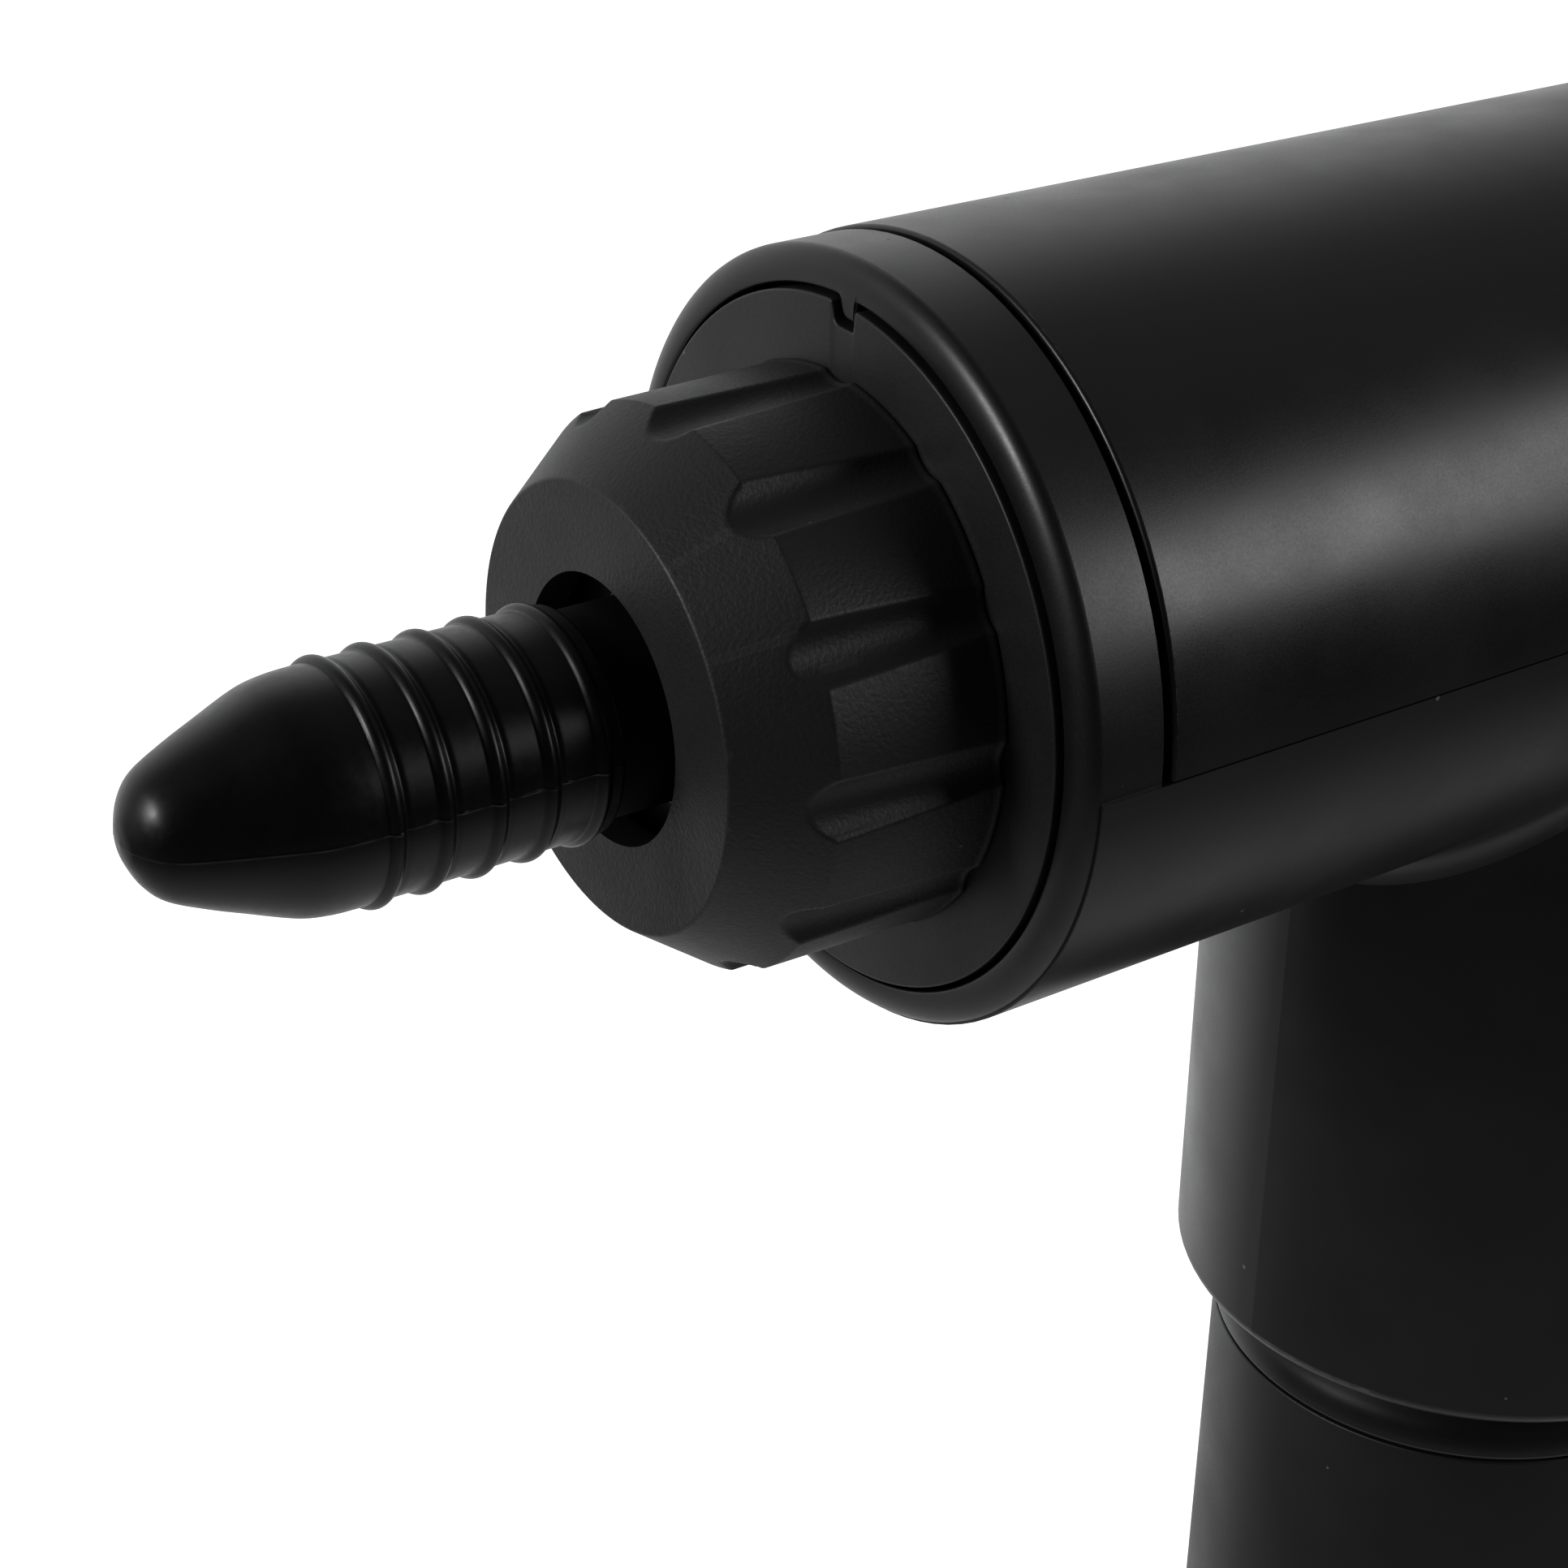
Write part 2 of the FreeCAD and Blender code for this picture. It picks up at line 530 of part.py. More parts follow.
def charge_socket():
    """Metal shell of the charging socket with its tongue."""
    z0, z1 = Z_BASE + 0.2, Z_BASE + 7.2
    outer = block(SOCKET_X - 1.63, SOCKET_X + 1.63, -4.47, 4.47, z0, z1)
    inner = block(SOCKET_X - 1.33, SOCKET_X + 1.33, -4.17, 4.17, z0 - 1, z1 - 0.8)
    outer = outer.makeFillet(1.5, [e for e in outer.Edges if abs(e.BoundBox.ZLength - 7) < 0.01])
    inner = inner.makeFillet(1.2, [e for e in inner.Edges if e.BoundBox.ZLength > 6])
    tongue = block(SOCKET_X - 0.35, SOCKET_X + 0.35, -3.3, 3.3, z0 + 1.0, z1 - 0.7)
    return outer.cut(inner).fuse(tongue).removeSplitter()


def charge_board():
    """Small board over the charging socket."""
    z0 = Z_BASE + 7.2
    return block(3.0, 14.0, -8.0, 11.0, z0, z0 + 1.2)


def charge_led():
    return rod_z(Z_BASE - 0.15, Z_BASE + 7.2, LED_R, LED_XY[0], LED_XY[1])


def cell_points():
    return circle_points(CELL_OFFSET, 4, 45)


def battery_cells():
    cells = []
    for x, y in cell_points():
        can = rod_z(CELL_Z[0], CELL_Z[1] - 1.0, CELL_R - 0.35, x, y)
        button_end = rod_z(CELL_Z[1] - 1.0, CELL_Z[1], 3.0, x, y)
        cells.append(fuse(can, button_end))
    return group(cells)


def cell_holders():
    """Two moulded holders, one at each end of the cells."""
    lower = rod_z(CELL_Z[0] - 2.5, CELL_Z[0] + 10.0, R_CORE_IN - 0.15)
    upper = rod_z(CELL_Z[1] - 12.0, CELL_Z[1] + 2.0, R_CORE_IN - 0.15)
    for x, y in cell_points():
        pockets = rod_z(CELL_Z[0] - 0.1, CELL_Z[1] + 0.1, CELL_R - 0.3, x, y)
        windows = rod_z(CELL_Z[0] - 5, CELL_Z[1] + 5, 4.0, x, y)
        lower = lower.cut(pockets).cut(windows)
        upper = upper.cut(pockets).cut(windows)
    wire_way = rod_z(CELL_Z[0] - 5, CELL_Z[1] + 5, 2.2)
    return group([lower.cut(wire_way), upper.cut(wire_way)])


def cell_tabs():
    """Nickel strips that join the cells, two above and two below."""
    tabs = []
    for z in (CELL_Z[0] - 3.2, CELL_Z[1] + 2.2):
        for y in (-CELL_OFFSET * 0.7071, CELL_OFFSET * 0.7071):
            tabs.append(block(-12.0, 12.0, y - 3.0, y + 3.0, z, z + 0.3))
    return group(tabs)


def battery_board():
    z0 = CELL_Z[1] + 6.0
    board = rod_z(z0, z0 + 1.6, 21.5)
    parts = [block(-14, -6, -6, 6, z0 + 1.6, z0 + 4.2), block(2, 12, -10, -2, z0 + 1.6, z0 + 3.4),
             block(2, 12, 3, 11, z0 + 1.6, z0 + 3.4)]
    return fuse(board, *parts)


def battery_spacer():
    """Foam ring that keeps the board off the cell holder."""
    return tube_z(CELL_Z[1] + 2.5, CELL_Z[1] + 6.0, 22.4, 18.5)


# ---------------------------------------------------------------- motor

def motor_base():
    """Flange and bearing tube of the motor, hung under the drive frame."""
    flange = rod_z(Z_FLANGE, Z_PLATE[0], 24.4)
    boss = rod_z(Z_PLATE[0] - 0.1, Z_PLATE[1], 13.4)
    tube = rod_z(Z_STACK[0] - 4.0, Z_FLANGE + 0.1, R_TUBE)
    body = fuse(flange, boss, tube).cut(rod_z(100, 200, BEARING_R - 1.5))
    body = body.cut(rod_z(Z_PLATE[1] - 7.0, Z_PLATE[1] + 1, BEARING_R))
    body = body.cut(rod_z(Z_STACK[0] - 5.0, Z_STACK[0] + 3.0, BEARING_R))
    for hole in ring(rod_z(Z_FLANGE - 1, Z_PLATE[0] + 1, 1.25, 19.0), 4):
        body = body.cut(hole)
    return body


def motor_bearings():
    races = []
    for z in (Z_STACK[0] - 4.0, Z_PLATE[1] - 7.0):
        races.append(tube_z(z, z + 7.0, BEARING_R, 9.1))
    return group(races)


def bearing_cores():
    """Inner races, which turn with the shaft, and the balls round them."""
    shapes = []
    for z in (Z_STACK[0] - 4.0, Z_PLATE[1] - 7.0):
        shapes.append(tube_z(z + 0.3, z + 6.7, 6.0, R_SHAFT))
        shapes += [Part.makeSphere(1.3, V(x, y, z + 3.5)) for x, y in circle_points(7.45, 9)]
    return group(shapes)


def stator_core():
    z0, z1 = Z_STACK
    body = tube_z(z0, z1, R_STATOR, R_TUBE)
    slot = rod_z(z0 - 1, z1 + 1, 1.45, 16.9)
    mouth = block(16.9, 21.0, -0.5, 0.5, z0 - 1, z1 + 1)
    for cutter in ring(fuse(slot, mouth), TEETH):
        body = body.cut(cutter)
    return body


def stator_windings():
    """Copper end turns above and below the stack, one coil per tooth."""
    coils = []
    span = block(14.8, 18.9, -2.1, 2.1, Z_STACK[1] + 0.1, Z_STACK[1] + 2.0)
    span = rounded(span, 0.8, lambda e: abs(e.BoundBox.ZMin - Z_STACK[1] - 2.0) < 0.01)
    below_span = span.copy()
    below_span.translate(V(0, 0, Z_STACK[0] - Z_STACK[1] - 2.1))
    for shape in (span, below_span):
        coils += ring(shape, TEETH, 180.0 / TEETH)
    return group(coils)


def rotor_bell():
    z0, z1 = Z_BELL
    body = tube_z(z0, z1, R_BELL, R_BELL_IN).fuse(rod_z(z0, z0 + 2.2, R_BELL))
    body = body.fuse(rod_z(z0 - 1.5, z0 + 3.2, 7.0)).cut(rod_z(z0 - 3, z0 + 5, R_SHAFT))
    for hole in ring(rod_z(z0 - 2, z0 + 3, 3.0, 15.0), 6):
        body = body.cut(hole)
    return body.removeSplitter()


def rotor_magnets():
    z0, z1 = Z_STACK
    magnet = tube_z(z0 - 0.5, z1 + 0.5, R_BELL_IN, R_ROTOR)
    wedge = block(0, 30, -4.4, 4.4, z0 - 2, z1 + 2).common(magnet)
    return group(ring(wedge, MAGNETS))


def crank_wheel():
    """Crank with its counterweight opposite the pin."""
    z0, z1 = CRANK_Z
    hub = rod_z(z0, z1, 12.5)
    weight = rod_z(z0 + 2.4, z1, 21.0).common(block(-30, -2.0, -30, 30, z0, z1))
    body = fuse(hub, weight).cut(rod_z(z0 - 1, Z_SHAFT_TOP, R_SHAFT))
    return body.cut(rod_z(Z_SHAFT_TOP + 0.4, z1 + 1, R_PIN, THROW))


def motor_shaft():
    return rod_z(Z_BELL[0] - 2.5, Z_SHAFT_TOP, R_SHAFT)


def drive_frame():
    """Cast frame: bed for the motor and sleeve holder for the piston."""
    z0, z1 = Z_PLATE
    bed = rod_z(z0, z1, 28.1).cut(rod_z(z0 - 1, z1 + 1, 13.5))
    arm = block(18.0, X_GUIDE[1], -10.5, 10.5, z0, z1)
    post = block(X_GUIDE[0], X_GUIDE[1], -9.0, 9.0, z1 - 1.0, AXIS_Z - 12.0)
    holder = rod_x(X_GUIDE[0], X_GUIDE[1], 19.5)
    rib = block(30.0, X_GUIDE[0] + 1, -2.0, 2.0, z1 - 0.5, z1 + 5.0)
    body = fuse(bed, arm, post, holder, rib).cut(rod_x(X_GUIDE[0] - 1, X_GUIDE[1] + 1, R_GUIDE))
    body = body.cut(rod_z(z0 - 1, z1 + 1, 13.5))
    for hole in ring(rod_z(z0 - 1, z1 + 1, 1.4, 19.0), 4) + ring(
            rod_z(z0 - 1, z1 + 1, 1.4, FRAME_SCREW_R), 4, 45):
        body = body.cut(hole)
    return body.removeSplitter()


def damping_ring():
    """Rubber ring between the ledge in the neck and the drive frame."""
    body = tube_z(177.0, Z_PLATE[0], 28.2, 25.3)
    for hole in ring(rod_z(170, 180, 1.3, FRAME_SCREW_R), 4, 45):
        body = body.cut(hole)
    return body


def frame_screws():
    shapes = []
    for x, y in circle_points(FRAME_SCREW_R, 4, 45):
        stem = rod_z(174.0, Z_PLATE[1], 1.0, x, y)
        head = rod_z(Z_PLATE[1], Z_PLATE[1] + 1.6, 1.7, x, y)
        shapes.append(fuse(stem, head))
    return group(shapes)


def motor_screws():
    return group([screw_z(x, y, Z_PLATE[1], 9.0, 1.2, 2.2, 1.6)
                  for x, y in circle_points(19.0, 4)])


def housing_screws():
    """Screws that pull the upper shell onto the lower shell."""
    return group([screw_z(x, y, SPLIT_Z + 3.0, 12.0, 0.95, 2.2, 1.8) for x, y in BOSS_XY])


def control_board():
    z0 = Z_BOARD
    board = rod_z(z0, z0 + 1.6, 27.6)
    for x, y in circle_points(POST_R, 4):
        board = board.cut(rod_z(z0 - 1, z0 + 3, 1.0, x, y))
    parts = [block(-16, -8, -10, -2, z0 + 1.6, z0 + 3.4),
             block(-16, -8, 2, 10, z0 + 1.6, z0 + 3.4),
             block(4, 14, -5, 5, z0 + 1.6, z0 + 3.0),
             rod_z(z0 + 1.6, z0 + 11.0, 4.0, 2.0, 15.0),
             rod_z(z0 + 1.6, z0 + 11.0, 4.0, 2.0, -15.0)]
    return fuse(board, *parts)


def board_studs():
    """Screws that hold the control board on its posts."""
    shapes = []
    for x, y in circle_points(POST_R, 4):
        stem = rod_z(Z_BOARD - 3.0, Z_BOARD + 1.6, 0.9, x, y)
        head = rod_z(Z_BOARD + 1.6, Z_BOARD + 3.0, 1.8, x, y)
        shapes.append(fuse(stem, head))
    return group(shapes)


# ---------------------------------------------------------------- piston

def guide_sleeve():
    return tube_x(X_GUIDE[0], X_GUIDE[1], R_GUIDE, R_PISTON + FIT)


def piston():
    """Sliding sleeve: clevis at the back, socket for the head in front."""
    x0, x1 = X_PISTON
    body = rod_x(x0, x1, R_PISTON)
    body = body.cut(block(x0 - 1, X_WRIST + 9.0, -20, 20,
                          AXIS_Z - ROD_T / 2 - 0.5, AXIS_Z + ROD_T / 2 + 0.5))
    body = body.cut(rod_x(X_SOCKET, x1 + 1, R_SOCKET))
    mouth = Part.makeCone(R_SOCKET, R_SOCKET + 1.2, 1.2, V(x1 - 1.2, 0, AXIS_Z), V(1, 0, 0))
    body = body.cut(mouth)
    for x in PISTON_GROOVES:
        body = body.cut(tube_x(x, x + 2.0, R_PISTON + 1, R_PISTON - 1.2))
    return body.cut(rod_z(AXIS_Z - 20, AXIS_Z + 20, 3.0, X_WRIST)).removeSplitter()


def piston_rings():
    return group([tube_x(x + 0.1, x + 1.9, R_PISTON, R_PISTON - 1.1) for x in PISTON_GROOVES])


def wrist_pin():
    return rod_z(AXIS_Z - 11.8, AXIS_Z + 11.8, 3.0, X_WRIST)


def connecting_rod():
    z0, z1 = AXIS_Z - ROD_T / 2, AXIS_Z + ROD_T / 2
    big = rod_z(z0, z1, 12.5, THROW)
    small = rod_z(z0, z1, 7.2, X_WRIST)
    beam = block(THROW, X_WRIST, -4.5, 4.5, z0, z1)
    pocket = block(THROW + 14.5, X_WRIST - 9.0, -2.6, 2.6, z1 - 2.0, z1 + 1)
    body = fuse(big, small, beam).cut(pocket)
    body = body.cut(rod_z(z0 - 1, z1 + 1, 9.5, THROW))
    return body.cut(rod_z(z0 - 1, z1 + 1, 5.0, X_WRIST)).removeSplitter()


def big_end_bearing():
    z0, z1 = AXIS_Z - ROD_T / 2, AXIS_Z + ROD_T / 2
    return tube_z(z0 + 0.2, z1 - 0.2, 9.5, R_PIN + FIT, THROW)


def small_end_bush():
    z0, z1 = AXIS_Z - ROD_T / 2, AXIS_Z + ROD_T / 2
    return tube_z(z0, z1, 5.0, 3.0 + FIT, X_WRIST)


def crank_pin():
    """Pin in the crank, cut short just under the rod's bearing."""
    return rod_z(Z_SHAFT_TOP + 0.4, AXIS_Z - ROD_T / 2 - 0.3, R_PIN, THROW)


# ---------------------------------------------------------------- head

def bullet_head():
    """Rubber bullet with a smooth nose and fine ribs."""
    pts = [V(x, 0, AXIS_Z + r) for x, r in HEAD_PROFILE]
    curve = Part.BSplineCurve()
    curve.interpolate(pts, InitialTangent=V(0, 0, 1), FinalTangent=V(-1, 0, 0))
    tail = [pts[-1], V(X_HEAD + 0.5, 0, AXIS_Z + R_HEAD), V(X_HEAD, 0, AXIS_Z + R_HEAD - 0.5),
            V(X_HEAD, 0, AXIS_Z), pts[0]]
    wire = Part.Wire([curve.toShape()] + Part.makePolygon(tail).Edges)
    body = Part.Face(wire).revolve(V(0, 0, AXIS_Z), V(1, 0, 0), 360)
    body = Part.Solid(body) if body.ShapeType == "Shell" else body
    for x in RIB_X:
        body = body.fuse(Part.makeTorus(R_HEAD, RIB_R, V(x, 0, AXIS_Z), V(1, 0, 0)))
    return body.cut(rod_x(X_HEAD - 1, 126.0, 5.0))


def head_shank():
    """Stiff plug inside the bullet that pushes into the socket."""
    body = fuse(rod_x(X_SOCKET + 1.5, X_HEAD, R_SHANK), rod_x(X_HEAD - 0.1, 126.0, 5.0))
    for x in O_RING_X:
        body = body.cut(tube_x(x, x + 2.0, R_SHANK + 1, R_SHANK - 1.2))
    tip = Part.makeCone(R_SHANK - 1.2, R_SHANK, 1.2, V(X_SOCKET + 1.5, 0, AXIS_Z), V(1, 0, 0))
    body = body.cut(rod_x(X_SOCKET + 1.4, X_SOCKET + 2.7, R_SHANK + 1)).fuse(tip)
    return body.removeSplitter()


def head_o_rings():
    r_tube = 0.72
    return group([Part.makeTorus(R_SOCKET - FIT - r_tube, r_tube, V(x + 1.0, 0, AXIS_Z),
                                 V(1, 0, 0)) for x in O_RING_X])


# ---------------------------------------------------------------- write

MAKERS = [
    lower_housing, upper_housing, top_cover, front_bezel, front_plate, nose_collar,
    rear_cap, display_lens, display_module, display_board, board_screws, button_domes,
    neck_ring, grip_sleeve, handle_core, core_screws, base_cap, base_foot, base_screws,
    rocker_frame, rocker_paddle, charge_socket, charge_board, charge_led,
    battery_cells, cell_holders, cell_tabs, battery_board, battery_spacer,
    motor_base, motor_bearings, bearing_cores, stator_core, stator_windings,
    rotor_bell, rotor_magnets, motor_shaft, crank_wheel, crank_pin,
    drive_frame, damping_ring, frame_screws, motor_screws, housing_screws,
    control_board, board_studs, guide_sleeve, piston, piston_rings, wrist_pin,
    connecting_rod, big_end_bearing, small_end_bush, bullet_head, head_shank, head_o_rings,
]

for maker in MAKERS:
    save(maker(), maker.__name__)
for node, (y, r) in BUTTONS.items():
    save(button(y, r), node)
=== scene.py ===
import json
import math

import bmesh
import bpy
import numpy as np
from mathutils import Matrix, Vector


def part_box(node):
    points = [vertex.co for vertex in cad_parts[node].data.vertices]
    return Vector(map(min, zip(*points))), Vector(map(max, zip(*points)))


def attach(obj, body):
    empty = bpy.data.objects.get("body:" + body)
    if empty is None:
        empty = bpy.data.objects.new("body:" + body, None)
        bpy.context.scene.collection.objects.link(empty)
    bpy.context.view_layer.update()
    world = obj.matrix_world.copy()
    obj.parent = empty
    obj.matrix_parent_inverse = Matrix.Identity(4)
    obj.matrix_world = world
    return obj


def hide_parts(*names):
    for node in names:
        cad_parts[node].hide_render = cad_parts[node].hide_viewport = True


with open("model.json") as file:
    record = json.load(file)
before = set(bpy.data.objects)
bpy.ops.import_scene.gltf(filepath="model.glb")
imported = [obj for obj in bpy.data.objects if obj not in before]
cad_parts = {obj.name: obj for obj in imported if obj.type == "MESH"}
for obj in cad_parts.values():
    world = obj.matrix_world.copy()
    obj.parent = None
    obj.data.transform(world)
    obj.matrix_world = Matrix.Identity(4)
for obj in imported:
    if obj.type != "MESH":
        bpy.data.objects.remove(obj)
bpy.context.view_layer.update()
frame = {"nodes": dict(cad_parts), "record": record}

# A pistol-shaped massage gun. +X points out of the nose and +Z is up, as in the CAD.
# Shapes are worked out in millimetres from the CAD nodes' own boxes.

MM = 0.001
TURN = 2 * math.pi


def corners(node):
    """Lowest and highest corner of a CAD node, in millimetres."""
    lo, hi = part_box(node)
    return lo / MM, hi / MM


AXIS_Z = sum(corner.z for corner in corners("nose_collar")) / 2   # height of the barrel's axis


# ---------------------------------------------------------------- materials

COLOUR_DARK, COLOUR_PALE = 0.86, 1.1           # how far a finish's colour wanders
EDGE_STARTS, EDGE_WORN = 0.52, 0.6             # pointiness at which wear starts and is full
EDGE_MOST = 0.8
DUST = (0.3, 0.3, 0.31)
SPECK_CORE, SPECK_RIM = 0.018, 0.03            # in the size of a dust cell
COAT_ROUGH = 0.08


def node(tree, kind, **settings):
    """A shader node of a kind, with its settings."""
    made = tree.nodes.new(kind)
    for key, value in settings.items():
        setattr(made, key, value)
    return made


def noise(tree, coords, scale, detail, roughness=0.5):
    """Noise between 0 and 1, with its scale in features per metre."""
    made = node(tree, "ShaderNodeTexNoise")
    made.inputs["Scale"].default_value = scale
    made.inputs["Detail"].default_value = detail
    made.inputs["Roughness"].default_value = roughness
    tree.links.new(coords, made.inputs["Vector"])
    return made.outputs["Fac"]


def remap(tree, value, low, high, to_low, to_high, smooth=False):
    """A value moved from one range to another and held inside it."""
    made = node(tree, "ShaderNodeMapRange")
    made.interpolation_type = "SMOOTHSTEP" if smooth else "LINEAR"
    made.inputs["From Min"].default_value = low
    made.inputs["From Max"].default_value = high
    made.inputs["To Min"].default_value = to_low
    made.inputs["To Max"].default_value = to_high
    tree.links.new(value, made.inputs["Value"])
    return made.outputs["Result"]


def combine(tree, a, b, operation="ADD"):
    """Sum, or another operation, of two sockets or numbers."""
    made = node(tree, "ShaderNodeMath", operation=operation)
    for socket, value in zip(made.inputs, (a, b)):
        if isinstance(value, (int, float)):
            socket.default_value = value
        else:
            tree.links.new(value, socket)
    return made.outputs[0]


def blend_colours(tree, fac, a, b):
    """Colour between a and b, each a socket or an RGB triple."""
    made = node(tree, "ShaderNodeMix", data_type="RGBA")
    tree.links.new(fac, made.inputs["Factor"])
    for socket, value in ((made.inputs[6], a), (made.inputs[7], b)):
        if isinstance(value, tuple):
            socket.default_value = (*value, 1.0)
        else:
            tree.links.new(value, socket)
    return made.outputs[2]


def finish(name, colour, rough, grain=0.25, depth=0.01, swing=0.05, worn=1.6, dust=0.0,
           metallic=0.0, blotch=12.0, streak=None, coat=0.0, gloss=0.5):
    """Procedural finish. grain is the size of the surface texture, depth its height, blotch the size
    of its broad patches and dust the distance between specks, all in mm. swing is how far roughness
    wanders, worn how much paler edges are, gloss how much the surface reflects, and streak stretches
    the grain."""
    material = bpy.data.materials.new(name)
    material.use_nodes = True
    tree = material.node_tree
    shader = tree.nodes["Principled BSDF"]
    shader.inputs["Metallic"].default_value = metallic
    shader.inputs["Specular IOR Level"].default_value = gloss
    if coat:
        shader.inputs["Coat Weight"].default_value = coat
        shader.inputs["Coat Roughness"].default_value = COAT_ROUGH
    coords = node(tree, "ShaderNodeTexCoord").outputs["Object"]
    fine_coords = coords
    if streak:
        stretch = node(tree, "ShaderNodeMapping")
        stretch.inputs["Scale"].default_value = streak
        tree.links.new(coords, stretch.inputs["Vector"])
        fine_coords = stretch.outputs["Vector"]
    broad = noise(tree, coords, 1.0 / (blotch * MM), 3.0)
    fine = noise(tree, fine_coords, 1.0 / (grain * MM), 1.0, 0.6)

    dark = tuple(c * COLOUR_DARK for c in colour)
    pale = tuple(c * COLOUR_PALE for c in colour)
    rubbed = tuple(min(1.0, c * worn) for c in colour)
    base = blend_colours(tree, remap(tree, broad, 0.35, 0.65, 0.0, 1.0), dark, pale)
    edge = node(tree, "ShaderNodeNewGeometry").outputs["Pointiness"]
    edge = remap(tree, edge, EDGE_STARTS, EDGE_WORN, 0.0, EDGE_MOST, smooth=True)
    base = blend_colours(tree, edge, base, rubbed)
    roughness = combine(tree, remap(tree, broad, 0.3, 0.7, rough - swing, rough + swing),
                        remap(tree, fine, 0.3, 0.7, -swing * 0.5, swing * 0.5))
    if dust:
        cells = node(tree, "ShaderNodeTexVoronoi")
        cells.inputs["Scale"].default_value = 1.0 / (dust * MM)
        tree.links.new(coords, cells.inputs["Vector"])
        speck = remap(tree, cells.outputs["Distance"], SPECK_CORE, SPECK_RIM, 0.5, 0.0, smooth=True)
        base = blend_colours(tree, speck, base, DUST)
        roughness = combine(tree, roughness, combine(tree, speck, 0.6, "MULTIPLY"))

    tree.links.new(base, shader.inputs["Base Color"])
    tree.links.new(roughness, shader.inputs["Roughness"])
    bump = node(tree, "ShaderNodeBump")
    bump.inputs["Strength"].default_value = 1.0
    bump.inputs["Distance"].default_value = depth * MM
    tree.links.new(fine, bump.inputs["Height"])
    tree.links.new(bump.outputs["Normal"], shader.inputs["Normal"])
    return material


FINISHES = {
    "shell": dict(colour=(0.0060, 0.0060, 0.0064), rough=0.34, grain=0.22, depth=0.0035, dust=9.0),
    "cover": dict(colour=(0.0058, 0.0058, 0.0062), rough=0.33, grain=0.20, depth=0.0030, dust=10.0),
    "trim": dict(colour=(0.0062, 0.0062, 0.0066), rough=0.36, grain=0.22, depth=0.0035, dust=8.0),
    "plate": dict(colour=(0.0060, 0.0060, 0.0064), rough=0.47, grain=0.28, depth=0.010, dust=7.0),
    "collar_rubber": dict(colour=(0.0072, 0.0072, 0.0076), rough=0.52, grain=0.36, depth=0.034,
                          dust=6.0, worn=2.6),
    "head_rubber": dict(colour=(0.0030, 0.0030, 0.0031), rough=0.33, grain=0.6, depth=0.004,
                        dust=12.0, blotch=5.0, gloss=0.30),
    "grip_rubber": dict(colour=(0.0060, 0.0060, 0.0064), rough=0.47, grain=0.25, depth=0.010, dust=9.0),
    # painted shade: near-black, dull stand-in for the shade inside the collar's mouth
    "painted_shade_black": dict(colour=(0.0025, 0.0025, 0.0026), rough=0.65, grain=0.3, depth=0.006, gloss=0.14),
    "foot_rubber": dict(colour=(0.020, 0.020, 0.021), rough=0.62, grain=0.5, depth=0.03),
    "core_plastic": dict(colour=(0.045, 0.045, 0.048), rough=0.5, grain=0.5, depth=0.01),
    "lens": dict(colour=(0.003, 0.003, 0.0035), rough=0.07, grain=3.0, depth=0.0004, swing=0.02,
                 coat=0.6),
    "display": dict(colour=(0.02, 0.025, 0.03), rough=0.2, grain=1.0, depth=0.002, swing=0.03),
    "buttons": dict(colour=(0.012, 0.012, 0.013), rough=0.4, grain=0.25, depth=0.006, worn=2.0),
    "board": dict(colour=(0.01, 0.07, 0.035), rough=0.35, grain=0.8, depth=0.01, worn=1.3),
    "steel": dict(colour=(0.52, 0.53, 0.55), rough=0.26, grain=0.2, depth=0.003, metallic=1.0, worn=1.2,
                  streak=(1.0, 1.0, 0.08)),
    "screw_steel": dict(colour=(0.06, 0.06, 0.065), rough=0.36, grain=0.15, depth=0.004, metallic=1.0,
                        worn=2.5),
    "socket_metal": dict(colour=(0.66, 0.66, 0.68), rough=0.22, grain=0.2, depth=0.002, metallic=1.0,
                         worn=1.2),
    "nickel": dict(colour=(0.62, 0.60, 0.55), rough=0.3, grain=0.3, depth=0.003, metallic=1.0, worn=1.2),
    "cell_wrap": dict(colour=(0.02, 0.09, 0.25), rough=0.32, grain=0.5, depth=0.002, worn=1.3),
    "frame_alloy": dict(colour=(0.5, 0.51, 0.53), rough=0.45, grain=0.4, depth=0.02, metallic=1.0,
                        worn=1.3),
    "motor_alloy": dict(colour=(0.12, 0.12, 0.13), rough=0.33, grain=0.2, depth=0.004, metallic=1.0,
                        worn=1.8, streak=(1.0, 1.0, 0.1)),
    "lamination": dict(colour=(0.22, 0.21, 0.2), rough=0.45, grain=0.35, depth=0.02, metallic=1.0,
                       worn=1.3, streak=(0.05, 0.05, 1.0)),
    "copper": dict(colour=(0.55, 0.2, 0.07), rough=0.3, grain=0.35, depth=0.03, metallic=1.0, worn=1.2,
                   streak=(0.1, 1.0, 1.0)),
    "magnet": dict(colour=(0.3, 0.3, 0.31), rough=0.25, grain=0.4, depth=0.003, metallic=1.0, worn=1.4),
    "bronze": dict(colour=(0.5, 0.33, 0.13), rough=0.34, grain=0.25, depth=0.006, metallic=1.0,
                   worn=1.3),
    "seal_rubber": dict(colour=(0.02, 0.02, 0.02), rough=0.45, grain=0.3, depth=0.006),
    "led": dict(colour=(0.5, 0.53, 0.5), rough=0.28, grain=0.8, depth=0.004, swing=0.03, worn=1.1),
}
MATERIALS = {slot: finish(slot, **settings) for slot, settings in FINISHES.items()}
SLOT_OF = {part["node"]: part["material_slot"] for part in frame["record"]["subparts"]}

SHADED = ("head_shank", "head_o_rings")        # at rest, seen only through the collar's mouth; painted shade: they get the near-black material

for name, piece in frame["nodes"].items():
    piece.data.materials.clear()
    piece.data.materials.append(MATERIALS["painted_shade_black" if name in SHADED else SLOT_OF[name]])


# ---------------------------------------------------------------- mesh tools

